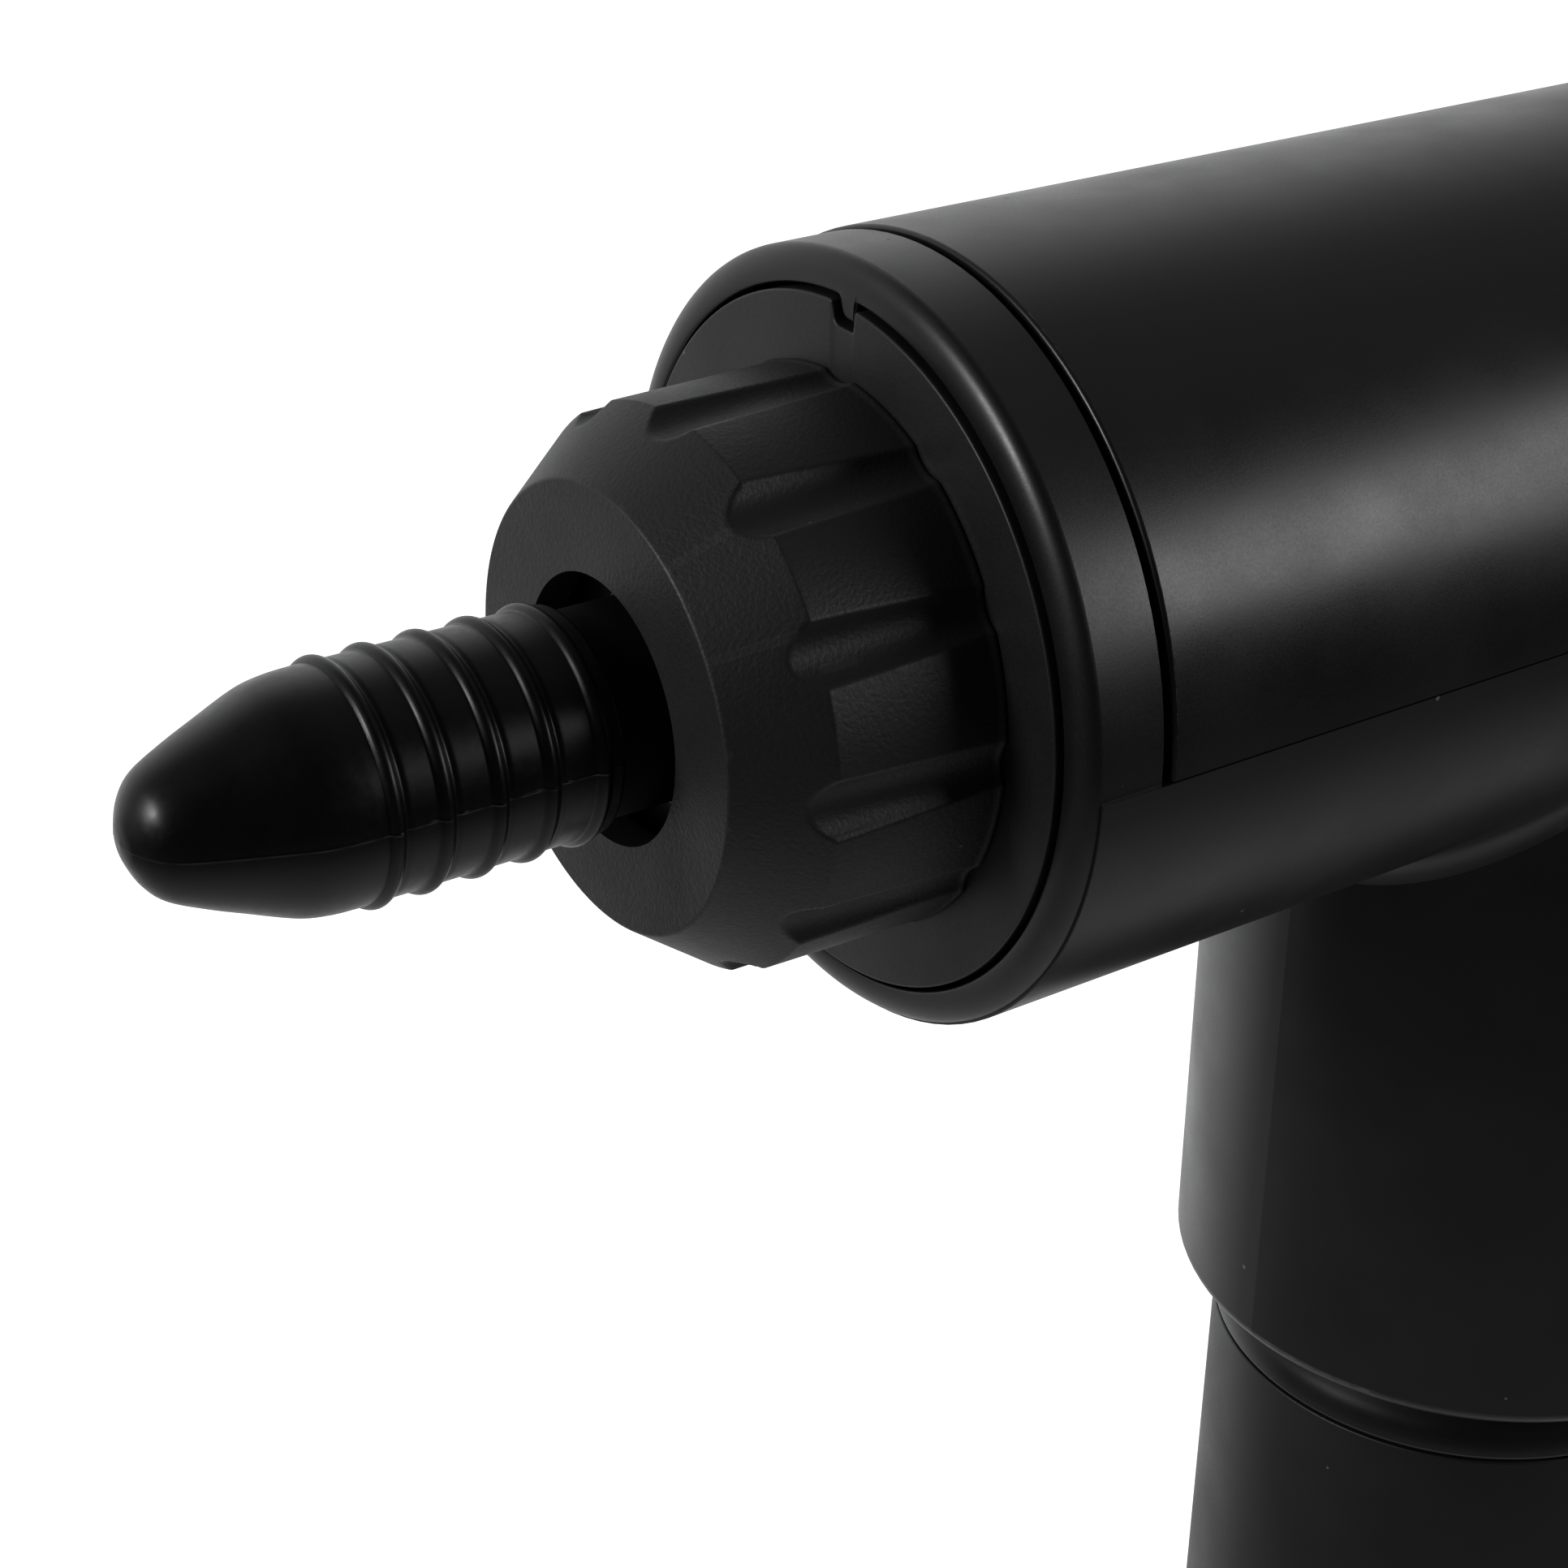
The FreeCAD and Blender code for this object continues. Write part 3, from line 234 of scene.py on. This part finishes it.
WELD = 0.5e-6                                  # points closer than this, in metres, become one
SIDES = 256                                    # points round a turned piece


def build(name, points, faces, slot, body, replaced=(), sharp=40.0):
    """A mesh piece from points in millimetres, riding on a body."""
    mesh = bpy.data.meshes.new(name)
    mesh.from_pydata([tuple(p * MM for p in point) for point in points], [], faces)
    work = bmesh.new()
    work.from_mesh(mesh)
    bmesh.ops.remove_doubles(work, verts=work.verts, dist=WELD)
    bmesh.ops.recalc_face_normals(work, faces=work.faces)
    work.to_mesh(mesh)
    work.free()
    mesh.shade_smooth()
    mesh.set_sharp_from_angle(angle=math.radians(sharp))
    mesh.materials.append(MATERIALS[slot])
    piece = bpy.data.objects.new(name, mesh)
    bpy.context.scene.collection.objects.link(piece)
    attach(piece, body)
    if replaced:
        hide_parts(*replaced)
    return piece


def strip_faces(rows, count, ring=True, closed=True):
    """Quads between the rows of a grid, each of count points. ring joins each row's last point to its
    first, and closed joins the last row to the first."""
    faces = []
    for i in range(rows if closed else rows - 1):
        for j in range(count if ring else count - 1):
            k, m = (i + 1) % rows, (j + 1) % count
            faces.append((i * count + j, i * count + m, k * count + m, k * count + j))
    return faces


def softened(points, radii, steps=5, closed=True):
    """A polygon, or an open path if not closed, with its corners replaced by arcs of the given radii."""
    path, total = [], len(points)
    for i, (point, radius) in enumerate(zip(points, radii)):
        here = np.array(point, float)
        if radius <= 0 or (not closed and i in (0, total - 1)):
            path.append(here)
            continue
        to_last = np.array(points[i - 1], float) - here
        to_next = np.array(points[(i + 1) % total], float) - here
        to_last /= np.linalg.norm(to_last)
        to_next /= np.linalg.norm(to_next)
        half = math.acos(max(-1.0, min(1.0, float(to_last @ to_next)))) / 2
        middle = (to_last + to_next) / np.linalg.norm(to_last + to_next)
        centre = here + middle * radius / math.sin(half)
        start = here + to_last * radius / math.tan(half) - centre
        end = here + to_next * radius / math.tan(half) - centre
        sweep = math.acos(max(-1.0, min(1.0, float(start @ end) / radius ** 2)))
        for k in range(steps + 1):
            t = k / steps
            a, b = math.sin((1 - t) * sweep), math.sin(t * sweep)
            path.append(centre + (start * a + end * b) / math.sin(sweep))
    return np.array(path)


def about_barrel(x, radius, angle):
    """Point at an angle from straight up, turning towards +Y."""
    return x, radius * math.sin(angle), AXIS_Z + radius * math.cos(angle)


def turned_z(name, profile, slot, body, replaced):
    """Piece turned about the handle axis from (radius, z) points."""
    points = [(r * math.cos(TURN * j / SIDES), r * math.sin(TURN * j / SIDES), z)
              for r, z in profile for j in range(SIDES)]
    return build(name, points, strip_faces(len(profile), SIDES), slot, body, replaced)


def smooth_curve(knots, steps):
    """Points along an even curve through the knots (Catmull-Rom)."""
    knots = [np.array(k, float) for k in knots]
    knots = [2 * knots[0] - knots[1]] + knots + [2 * knots[-1] - knots[-2]]
    path = []
    for a, b, c, d in zip(knots, knots[1:], knots[2:], knots[3:]):
        for k in range(steps):
            t = k / steps
            path.append(0.5 * (2 * b + (c - a) * t + (2 * a - 5 * b + 4 * c - d) * t ** 2
                               + (3 * b - a - 3 * c + d) * t ** 3))
    path.append(knots[-2])
    return np.array(path)


# ---------------------------------------------------------------- bullet head

HEAD_LO, HEAD_HI = corners("bullet_head")
X_TIP = HEAD_HI.x
HEAD_LONG = X_TIP - HEAD_LO.x
NOSE = [(0.0, 0.0), (0.14, 1.2), (0.4, 2.05), (1.2, 3.6), (2.5, 4.9), (5.2, 6.2), (7.8, 7.25),
        (10.4, 8.28), (12.0, 8.78), (13.8, 9.03), (15.6, 9.1)]   # (distance behind the tip, radius)
NOSE_LONG, R_SHOULDER = NOSE[-1]
BEADS = (17.0, 21.0, 25.3, 29.6, 34.0)         # distances behind the tip
BEAD_RISE, BEAD_HALF = 0.47, 0.62
DIP, DIP_AFTER, DIP_WIDE = 0.10, 0.85, 0.22    # the groove behind each bead
NARROWING, NARROWING_LONG = 0.1, 18.0          # the ribbed part is slimmer towards its end
TAIL_LONG, TAIL_EDGE = 1.0, 0.45
R_TAIL, R_TAIL_IN = 9.0, 7.9                   # the tail's wall and a point on its end face
RIB_STEP = 0.11                                # distance between rows of the ribbed part
MOULD_LINES = (TURN / 4, 3 * TURN / 4)         # where the two halves of the mould met
FLASH, FLASH_WIDE = 0.032, 0.09                # height and width of the mould line
FLASH_CLEAR = 0.3                              # none this close to the axis or to the end
FLASH_STEP, FLASH_STEPS = 0.0045, 5            # angle between columns on each side of a mould line
FLASH_ALONE = 0.026                            # even columns nearer than this to one are left out


def head_radius(back):
    """Radius of the bullet's ribbed part at a distance behind the tip."""
    radius = R_SHOULDER - NARROWING * min(1.0, max(0.0, (back - NOSE_LONG) / NARROWING_LONG))
    for bead in BEADS:
        off = back - bead
        if abs(off) < BEAD_HALF:
            radius += BEAD_RISE * (1 - (off / BEAD_HALF) ** 2) ** 0.75
        radius -= DIP * math.exp(-((off - DIP_AFTER) / DIP_WIDE) ** 2)
    return radius


def mould_angles(count):
    """Angles round the bullet, closer together at the two mould lines."""
    even = [TURN * j / count for j in range(count)]
    steps = range(-FLASH_STEPS, FLASH_STEPS + 1)
    extra = [side + k * FLASH_STEP for side in MOULD_LINES for k in steps]
    kept = [a for a in even if min(abs(a - side) for side in MOULD_LINES) > FLASH_ALONE]
    return sorted(kept + extra)


def flash(back, radius, angle):
    """Height of the uneven mould line at a place on the bullet."""
    if radius <= FLASH_CLEAR or back >= HEAD_LONG - FLASH_CLEAR:
        return 0.0
    off = min(abs(angle - side) for side in MOULD_LINES) * radius
    uneven = 1 + 0.5 * math.sin(back * 2.3) + 0.35 * math.sin(back * 5.1 + 1.0)
    return FLASH * uneven * math.exp(-(off / FLASH_WIDE) ** 2)


def bullet():
    """Rubber bullet with five beads and a faint mould line on each side."""
    ribbed = [(s, head_radius(s)) for s in np.arange(NOSE_LONG, HEAD_LONG - TAIL_LONG, RIB_STEP)[1:]]
    tail = softened([(HEAD_LONG - TAIL_LONG, R_TAIL), (HEAD_LONG, R_TAIL), (HEAD_LONG, R_TAIL_IN)],
                    [0, TAIL_EDGE, 0], closed=False)
    profile = [*smooth_curve(NOSE, 5), *ribbed, *tail[1:], (HEAD_LONG, 0.0)]
    angles = mould_angles(360)
    points = [about_barrel(X_TIP - s, r + flash(s, r, a), a) for s, r in profile for a in angles]
    return build("bullet_cover", points, strip_faces(len(profile), len(angles), closed=False),
                 "head_rubber", "head", ["bullet_head"], sharp=60)


bullet()


# ---------------------------------------------------------------- nose collar

COLLAR_LO, COLLAR_HI = corners("nose_collar")
PLATE_LO, PLATE_HI = corners("front_plate")
BEZEL_LO, BEZEL_HI = corners("front_bezel")
X_FACE = COLLAR_HI.x
X_PLATE = PLATE_HI.x
R_FACE, R_MOUTH, R_REAR = 17.9, 10.8, (COLLAR_HI.y - COLLAR_LO.y) / 2
R_FRONT, CONE = 22.6, 6.5
FLUTES, R_FLUTE = 12, 3.3
X_FLUTE = 101.0                                # where a flute's floor runs out through the cone
FLUTE_SHALLOW, FLUTE_DEEP = 0.55, 1.37         # at the plate and at the cone
FLUTE_TURN = math.radians(2.0)
FLUTE_COLUMNS = 56                             # columns of the mesh from flute to flute
FLUTE_EDGE = 0.14                              # rounding where a flute meets the collar
ROW_STEP = 0.24                                # longest distance between rows
SKIRT, SKIRT_FRONT, SKIRT_WIDE = 0.16, 0.25, 0.28     # height, distance before the plate, width
NO_FLUTE = 99.0                                # a radius past every surface
FACE_CLEAR = 0.5                               # no flutes this close to the front
R_HOLE = 19.0                                  # through the plate
R_INSIDE, X_INSIDE = 17.0, 98.0                # the collar's space behind its mouth
R_THROAT, THROAT_REAR, THROAT_FRONT = 15.0, 5.0, 3.4  # the cone behind the mouth, from the front
MOUTH_DRAFT = 0.05                             # the mouth is this much wider at its back


def soft_least(a, b, width):
    """The smaller of two numbers, rounded where they cross."""
    h = np.clip(0.5 + 0.5 * (b - a) / width, 0.0, 1.0)
    return b * (1 - h) + a * h - width * h * (1 - h)


def flute_radius(x, angle):
    """Radius of the flute surface at a station and an angle from the flute's middle."""
    run = (x - X_PLATE) / (X_FLUTE - X_PLATE)
    floor = (R_REAR - FLUTE_SHALLOW) * (1 - run) + (R_FRONT - FLUTE_DEEP) * run
    centre = floor + R_FLUTE
    inside = R_FLUTE ** 2 - (centre * np.sin(angle)) ** 2
    near = centre * np.cos(angle) - np.sqrt(np.maximum(inside, 0.0))
    return np.where((inside > 0) & (np.cos(angle) > 0), near, NO_FLUTE)


def collar():
    """Coned rubber nose with open flutes, a round mouth and a thin skirt on the plate."""
    outer = softened([(X_FACE, R_MOUTH), (X_FACE, R_FACE), (X_FACE - CONE, R_FRONT),
                      (X_PLATE, R_REAR)], [0, 0.42, 0.4, 0], steps=6, closed=False)
    dense = [outer[0]]
    for a, b in zip(outer, outer[1:]):
        on_face = abs(a[0] - b[0]) < 1e-6
        pieces = 1 if on_face else max(1, math.ceil(np.linalg.norm(b - a) / ROW_STEP))
        dense += [a + (b - a) * k / pieces for k in range(1, pieces + 1)]
    count = FLUTES * FLUTE_COLUMNS
    angles = np.array([TURN * j / count for j in range(count)])
    from_flute = (angles - FLUTE_TURN + math.pi / FLUTES) % (TURN / FLUTES) - math.pi / FLUTES
    points = []
    for x, r in dense:
        radii = np.full(count, r)
        if x < X_FACE - FACE_CLEAR:
            radii = soft_least(radii, flute_radius(x, from_flute), FLUTE_EDGE)
        radii = radii + SKIRT * math.exp(-((x - X_PLATE - SKIRT_FRONT) / SKIRT_WIDE) ** 2)
        points += [about_barrel(x, r, a) for r, a in zip(radii, angles)]
    throat = (X_FACE - THROAT_REAR, R_THROAT)
    inner = [(COLLAR_LO.x, R_HOLE), (COLLAR_LO.x, R_INSIDE), (X_INSIDE, R_INSIDE), throat]
    inner += [*softened([throat, (X_FACE - THROAT_FRONT, R_MOUTH + MOUTH_DRAFT), (X_FACE, R_MOUTH)],
                        [0, 0.5, 0], closed=False)[1:-1]]
    for x, r in inner:
        points += [about_barrel(x, r, a) for a in angles]
    rows = len(dense) + len(inner)
    piece = build("collar_skin", points, strip_faces(rows, count), "collar_rubber", "housing",
                  ["nose_collar"], sharp=50)
    piece.data.materials.append(MATERIALS["painted_shade_black"])          # painted shade: near-black material for the faces inside the mouth and those facing back
    for face in piece.data.polygons:
        centre = face.center / MM
        if math.hypot(centre.y, centre.z - AXIS_Z) < R_MOUTH + 0.02 or face.normal.x < -0.1:
            face.material_index = 1
    return piece


collar()


# ---------------------------------------------------------------- plate and bezel

AROUND = 300                                   # points round the plate and the bezel, without the key


def keyed_circle(radius, key, count):
    """Circle in the plane of the plate with a small tooth or notch at the top.
    Points are (y, z from the axis), clockwise seen from the front."""
    first = math.atan2(key[-1][0], key[-1][1])
    last = math.atan2(key[0][0], key[0][1]) + TURN
    arc = [first + (last - first) * j / count for j in range(1, count)]
    around = [(radius * math.sin(a), radius * math.cos(a)) for a in arc]
    return np.array([tuple(p) for p in key] + around)


def inset(outline, amount):
    """Outline moved towards its inside along its normals."""
    before, after = np.roll(outline, 1, axis=0), np.roll(outline, -1, axis=0)
    along = after - before
    along /= np.linalg.norm(along, axis=1)[:, None]
    return outline + amount * np.stack([along[:, 1], -along[:, 0]], axis=1)


def outline_rows(outline, rows):
    """Grid rows from (x, inset) pairs round an outline."""
    points = []
    for x, amount in rows:
        for y, z in inset(outline, amount):
            points.append((x, y, AXIS_Z + z))
    return points


def circle_rows(outline, rows):
    """Grid rows from (x, radius) pairs, matched to an outline point by point."""
    angles = np.arctan2(outline[:, 0], outline[:, 1])
    return [about_barrel(x, r, a) for x, r in rows for a in angles]


def edge_rows(x, radius, steps=5):
    """(x, inset) rows of a rounded edge, leading from the face at x to the wall."""
    quarter = [math.pi / 2 * k / steps for k in range(steps + 1)]
    return [(x - radius * (1 - math.cos(t)), radius * (1 - math.sin(t))) for t in quarter]


R_PLATE = (PLATE_HI.y - PLATE_LO.y) / 2
PLATE_THICK, PLATE_EDGE = 3.2, 0.22
NOTCH = softened([(-1.6, 28.355), (-0.62, 28.4), (-0.1, 26.62), (2.2, 26.55), (2.46, 28.29),
                  (3.4, 28.19)], [0, 0.3, 0.75, 0.22, 0.25, 0], closed=False)


def plate():
    """Flat disc with a notch at the top and a hole for the drive."""
    outline = keyed_circle(R_PLATE, NOTCH, AROUND)
    rows = edge_rows(X_PLATE, PLATE_EDGE) + [(X_PLATE - PLATE_THICK, 0.0)]
    points = outline_rows(outline, rows)
    points += circle_rows(outline, [(X_PLATE - PLATE_THICK, R_HOLE), (X_PLATE, R_HOLE)])
    return build("plate_disc", points, strip_faces(len(rows) + 2, len(outline)), "plate", "housing",
                 ["front_plate"], sharp=35)


X_BEZEL = BEZEL_HI.x
BROW = 0.35                                    # the face swells forward to meet the plate's edge
R_BEZEL = (BEZEL_HI.y - BEZEL_LO.y) / 2
R_LIP, LIP_DEEP, LIP_EDGE = 28.8, 2.4, 0.3
R_ROUND = 29.5                                 # the bezel's face curves back from here to its edge
RIM, R_RIM_IN = 1.0, 29.4                      # depth of the rim and its inner radius
TONGUE = softened([(-1.5, 28.76), (-0.16, 28.8), (0.32, 27.2), (1.98, 27.05), (2.12, 28.72),
                   (3.4, 28.6)], [0, 0.35, 0.95, 0.25, 0.3, 0], closed=False)


def bezel():
    """Rounded ring with a tongue that hangs into the plate's notch."""
    outline = keyed_circle(R_LIP, TONGUE, AROUND)
    lip = [(x, -amount) for x, amount in reversed(edge_rows(X_BEZEL + BROW, LIP_EDGE))]
    points = outline_rows(outline, [(X_BEZEL - LIP_DEEP, 0.0)] + lip)
    outer = [(X_BEZEL - RIM + (BROW + RIM) * math.cos(t), R_ROUND + (R_BEZEL - R_ROUND) * math.sin(t))
             for t in np.linspace(0, math.pi / 2, 12)] + [(X_BEZEL - RIM, R_RIM_IN)]
    points += circle_rows(outline, outer)
    rows = 1 + len(lip) + len(outer)
    return build("bezel_ring", points, strip_faces(rows, len(outline)), "trim", "housing",
                 ["front_bezel"], sharp=35)


plate()
bezel()


# ---------------------------------------------------------------- handle

RING_LO, RING_HI = corners("neck_ring")
GRIP_LO, GRIP_HI = corners("grip_sleeve")
R_BORE = 24.45                                 # ring and sleeve stand just off the core tube
R_GRIP_TOP = 26.4


def neck_flare():
    """Concave flared ring between the neck and the grip."""
    r_seam, foot = (RING_HI.y - RING_LO.y) / 2, RING_LO.z
    curve = smooth_curve([(r_seam - 0.05, foot + 0.1), (r_seam - 0.1, foot + 1.2),
                          (r_seam - 0.32, foot + 2.4), (25.6, foot + 3.6), (25.2, foot + 5.0),
                          (25.0, RING_HI.z)], 5)
    profile = [(R_BORE, foot), (r_seam - 0.12, foot), *curve, (R_BORE, RING_HI.z)]
    return turned_z("flare_ring", profile, "trim", "housing", ["neck_ring"])


def grip():
    """Soft sleeve, a little slimmer at the top, with rounded edges."""
    r_base = (GRIP_HI.y - GRIP_LO.y) / 2
    profile = softened([(R_BORE, GRIP_LO.z), (r_base, GRIP_LO.z), (R_GRIP_TOP, GRIP_HI.z),
                        (R_BORE, GRIP_HI.z)], [0, 0.3, 0.2, 0])
    return turned_z("grip_skin", profile, "grip_rubber", "housing", ["grip_sleeve"])


neck_flare()
grip()


# ---------------------------------------------------------------- button marks

MARK_WIDE, MARK_PROUD = 0.42, 0.12
RIDGE = [(-1.0, -0.2), (-0.85, 0.6), (-0.4, 1.0), (0.4, 1.0), (0.85, 0.6),
         (1.0, -0.2)]                          # (across, proud) section of a mark
SIGN = 3.0                                     # length of the bars of minus and plus
R_POWER, POWER_OPENING = 1.7, 70
POWER_BAR = [(0.0, 0.5), (0.0, 1.2), (0.0, 1.9), (0.0, 2.5)]


def mark_rows(path, x_face):
    """Rows of a raised line along a (y, z) path on a button's face, one for each point of RIDGE."""
    before = np.vstack([2 * path[0] - path[1], path[:-1]])
    after = np.vstack([path[1:], 2 * path[-1] - path[-2]])
    along = after - before
    along /= np.linalg.norm(along, axis=1)[:, None]
    sideways = np.stack([-along[:, 1], along[:, 0]], axis=1) * MARK_WIDE / 2
    return [(x_face - proud * MARK_PROUD, y, z)
            for across, proud in RIDGE for y, z in path + sideways * across]


def button_mark(name, button, paths):
    """Raised mark of one or more lines on a button, each a path of (y, z) points about its centre."""
    lo, hi = corners(button)
    centre = np.array([(lo.y + hi.y) / 2, (lo.z + hi.z) / 2])
    points, faces = [], []
    for path in paths:
        first, count = len(points), len(path)
        points += mark_rows(np.array(path) + centre, lo.x)
        ridge = strip_faces(len(RIDGE), count, ring=False, closed=False)
        ridge += [tuple(row * count + end for row in range(len(RIDGE))) for end in (0, count - 1)]
        faces += [tuple(first + i for i in face) for face in ridge]
    return build(name, points, faces, "led", button)


def bar(length, upright=False):
    """Straight path through a button's centre."""
    steps = np.linspace(-length / 2, length / 2, 5)
    return [(0.0, t) if upright else (t, 0.0) for t in steps]


def power_arc(radius, opening):
    """Round path that is open by an angle in degrees at the top."""
    half = math.radians(opening) / 2
    return [(radius * math.sin(a), radius * math.cos(a)) for a in np.linspace(half, TURN - half, 33)]


button_mark("minus_mark", "minus_button", [bar(SIGN)])
button_mark("plus_mark", "plus_button", [bar(SIGN), bar(SIGN, upright=True)])
button_mark("power_mark", "power_button", [power_arc(R_POWER, POWER_OPENING), POWER_BAR])


# ---------------------------------------------------------------- stage, in metres

R_STAGE, STAGE_SIDES = 6.0, 96
FLOOR_Z = -0.0002                              # just under the foot
WHITE = (0.9, 0.9, 0.9)
FLOOR_GLOW, BACKDROP_GLOW = 1.05, 1.1
WORLD_COLOUR = (0.985, 0.992, 1.0, 1.0)
WORLD_BASE = 0.03                              # strength of the dim room
WORLD_LOBES = [(-104, -2, 0.92, 8, 70), (0, -90, 0.45, 10, 68), (-25, 34, 0.20, 8, 55),
               (-178, 56, 0.13, 8, 40)]        # azimuth, elevation, strength, full and zero angle


def floor_mesh():
    """Round flat floor."""
    mesh = bpy.data.meshes.new("floor")
    angles = [TURN * j / STAGE_SIDES for j in range(STAGE_SIDES)]
    rim = [(R_STAGE * math.cos(a), R_STAGE * math.sin(a), FLOOR_Z) for a in angles]
    mesh.from_pydata(rim, [], [tuple(range(STAGE_SIDES))])
    return mesh


def backdrop_mesh():
    """Dome round everything."""
    mesh = bpy.data.meshes.new("backdrop")
    dome = bmesh.new()
    bmesh.ops.create_uvsphere(dome, u_segments=64, v_segments=32, radius=R_STAGE)
    dome.to_mesh(mesh)
    dome.free()
    return mesh


def glowing_white(name, strength):
    """White that shines by itself, so that the background stays even."""
    material = bpy.data.materials.new(name)
    material.use_nodes = True
    tree = material.node_tree
    shader = tree.nodes["Principled BSDF"]
    shader.inputs["Base Color"].default_value = (*WHITE, 1.0)
    shader.inputs["Roughness"].default_value = 0.9
    shader.inputs["Emission Color"].default_value = (*WHITE, 1.0)
    shader.inputs["Emission Strength"].default_value = strength
    return material


def stage_piece(name, mesh, glow):
    """Part of the stage that the camera sees and the object neither reflects nor is lit by."""
    mesh.materials.append(glowing_white(name + "_white", glow))
    piece = bpy.data.objects.new(name, mesh)
    bpy.context.scene.collection.objects.link(piece)
    piece.visible_glossy = False
    piece.visible_diffuse = False
    piece.visible_transmission = False
    return piece


floor = stage_piece("floor", floor_mesh(), FLOOR_GLOW)
backdrop = stage_piece("backdrop", backdrop_mesh(), BACKDROP_GLOW)
backdrop.visible_shadow = False


def towards(azimuth, elevation):
    """Unit vector in a direction given in degrees from +X."""
    a, e = math.radians(azimuth), math.radians(elevation)
    return Vector((math.cos(a) * math.cos(e), math.sin(a) * math.cos(e), math.sin(e)))


def world_light():
    """Studio surroundings: pale patches at one side, below and above in an otherwise dim room."""
    world = bpy.data.worlds.new("studio")
    bpy.context.scene.world = world
    world.use_nodes = True
    tree = world.node_tree
    direction = node(tree, "ShaderNodeTexCoord").outputs["Generated"]
    total = None
    for azimuth, elevation, strength, inner, outer in WORLD_LOBES:
        made = node(tree, "ShaderNodeVectorMath", operation="DOT_PRODUCT")
        tree.links.new(direction, made.inputs[0])
        made.inputs[1].default_value = towards(azimuth, elevation)
        lobe = remap(tree, made.outputs["Value"], math.cos(math.radians(outer)),
                     math.cos(math.radians(inner)), 0.0, strength, smooth=True)
        total = lobe if total is None else combine(tree, total, lobe)
    total = combine(tree, total, WORLD_BASE)
    background = tree.nodes["Background"]
    background.inputs["Color"].default_value = WORLD_COLOUR
    tree.links.new(total, background.inputs["Strength"])


world_light()


def soft_box(name, azimuth, elevation, width, height, power, aim, distance=1.2):
    """Rectangular lamp that faces a point from a direction and a distance."""
    data = bpy.data.lights.new(name, "AREA")
    data.shape = "RECTANGLE"
    data.size, data.size_y = width, height
    data.energy = power
    lamp = bpy.data.objects.new(name, data)
    bpy.context.scene.collection.objects.link(lamp)
    lamp.location = Vector(aim) + towards(azimuth, elevation) * distance
    lamp.rotation_mode = "QUATERNION"
    lamp.rotation_quaternion = (-towards(azimuth, elevation)).to_track_quat("-Z", "Y")
    lamp.visible_camera = False


soft_box("rear_box", azimuth=138, elevation=17, width=0.70, height=0.36, power=4.1,
         aim=(0.05, 0.03, 0.205))
soft_box("front_box", azimuth=-10, elevation=23, width=0.22, height=0.22, power=6.4,
         aim=(0.14, 0.0, 0.205))


# ---------------------------------------------------------------- camera

CAMERA_AT = (0.2107, 0.1804, 0.3066)           # fitted to the photograph's outlines, in metres
AZIMUTH, ELEVATION, ROLL = 145.92, 27.372, 0.305
LENS, SENSOR = 70.02, 36.0


def camera():
    """Camera at the photograph's viewing angle."""
    a, e, roll = (math.radians(v) for v in (AZIMUTH, ELEVATION, ROLL))
    back = Vector((math.sin(a) * math.cos(e), -math.cos(a) * math.cos(e), math.sin(e)))
    side = Vector((math.cos(a), math.sin(a), 0.0))
    up = back.cross(side)
    right = side * math.cos(roll) + up * math.sin(roll)
    upward = up * math.cos(roll) - side * math.sin(roll)
    data = bpy.data.cameras.new("camera")
    data.sensor_width = SENSOR
    data.lens = LENS
    data.clip_start, data.clip_end = 0.01, 50.0
    made = bpy.data.objects.new("camera", data)
    bpy.context.scene.collection.objects.link(made)
    rows = Matrix((right, upward, back)).transposed()
    made.matrix_world = Matrix.Translation(CAMERA_AT) @ rows.to_4x4()
    bpy.context.scene.camera = made


camera()
bpy.context.scene.view_settings.view_transform = "Standard"
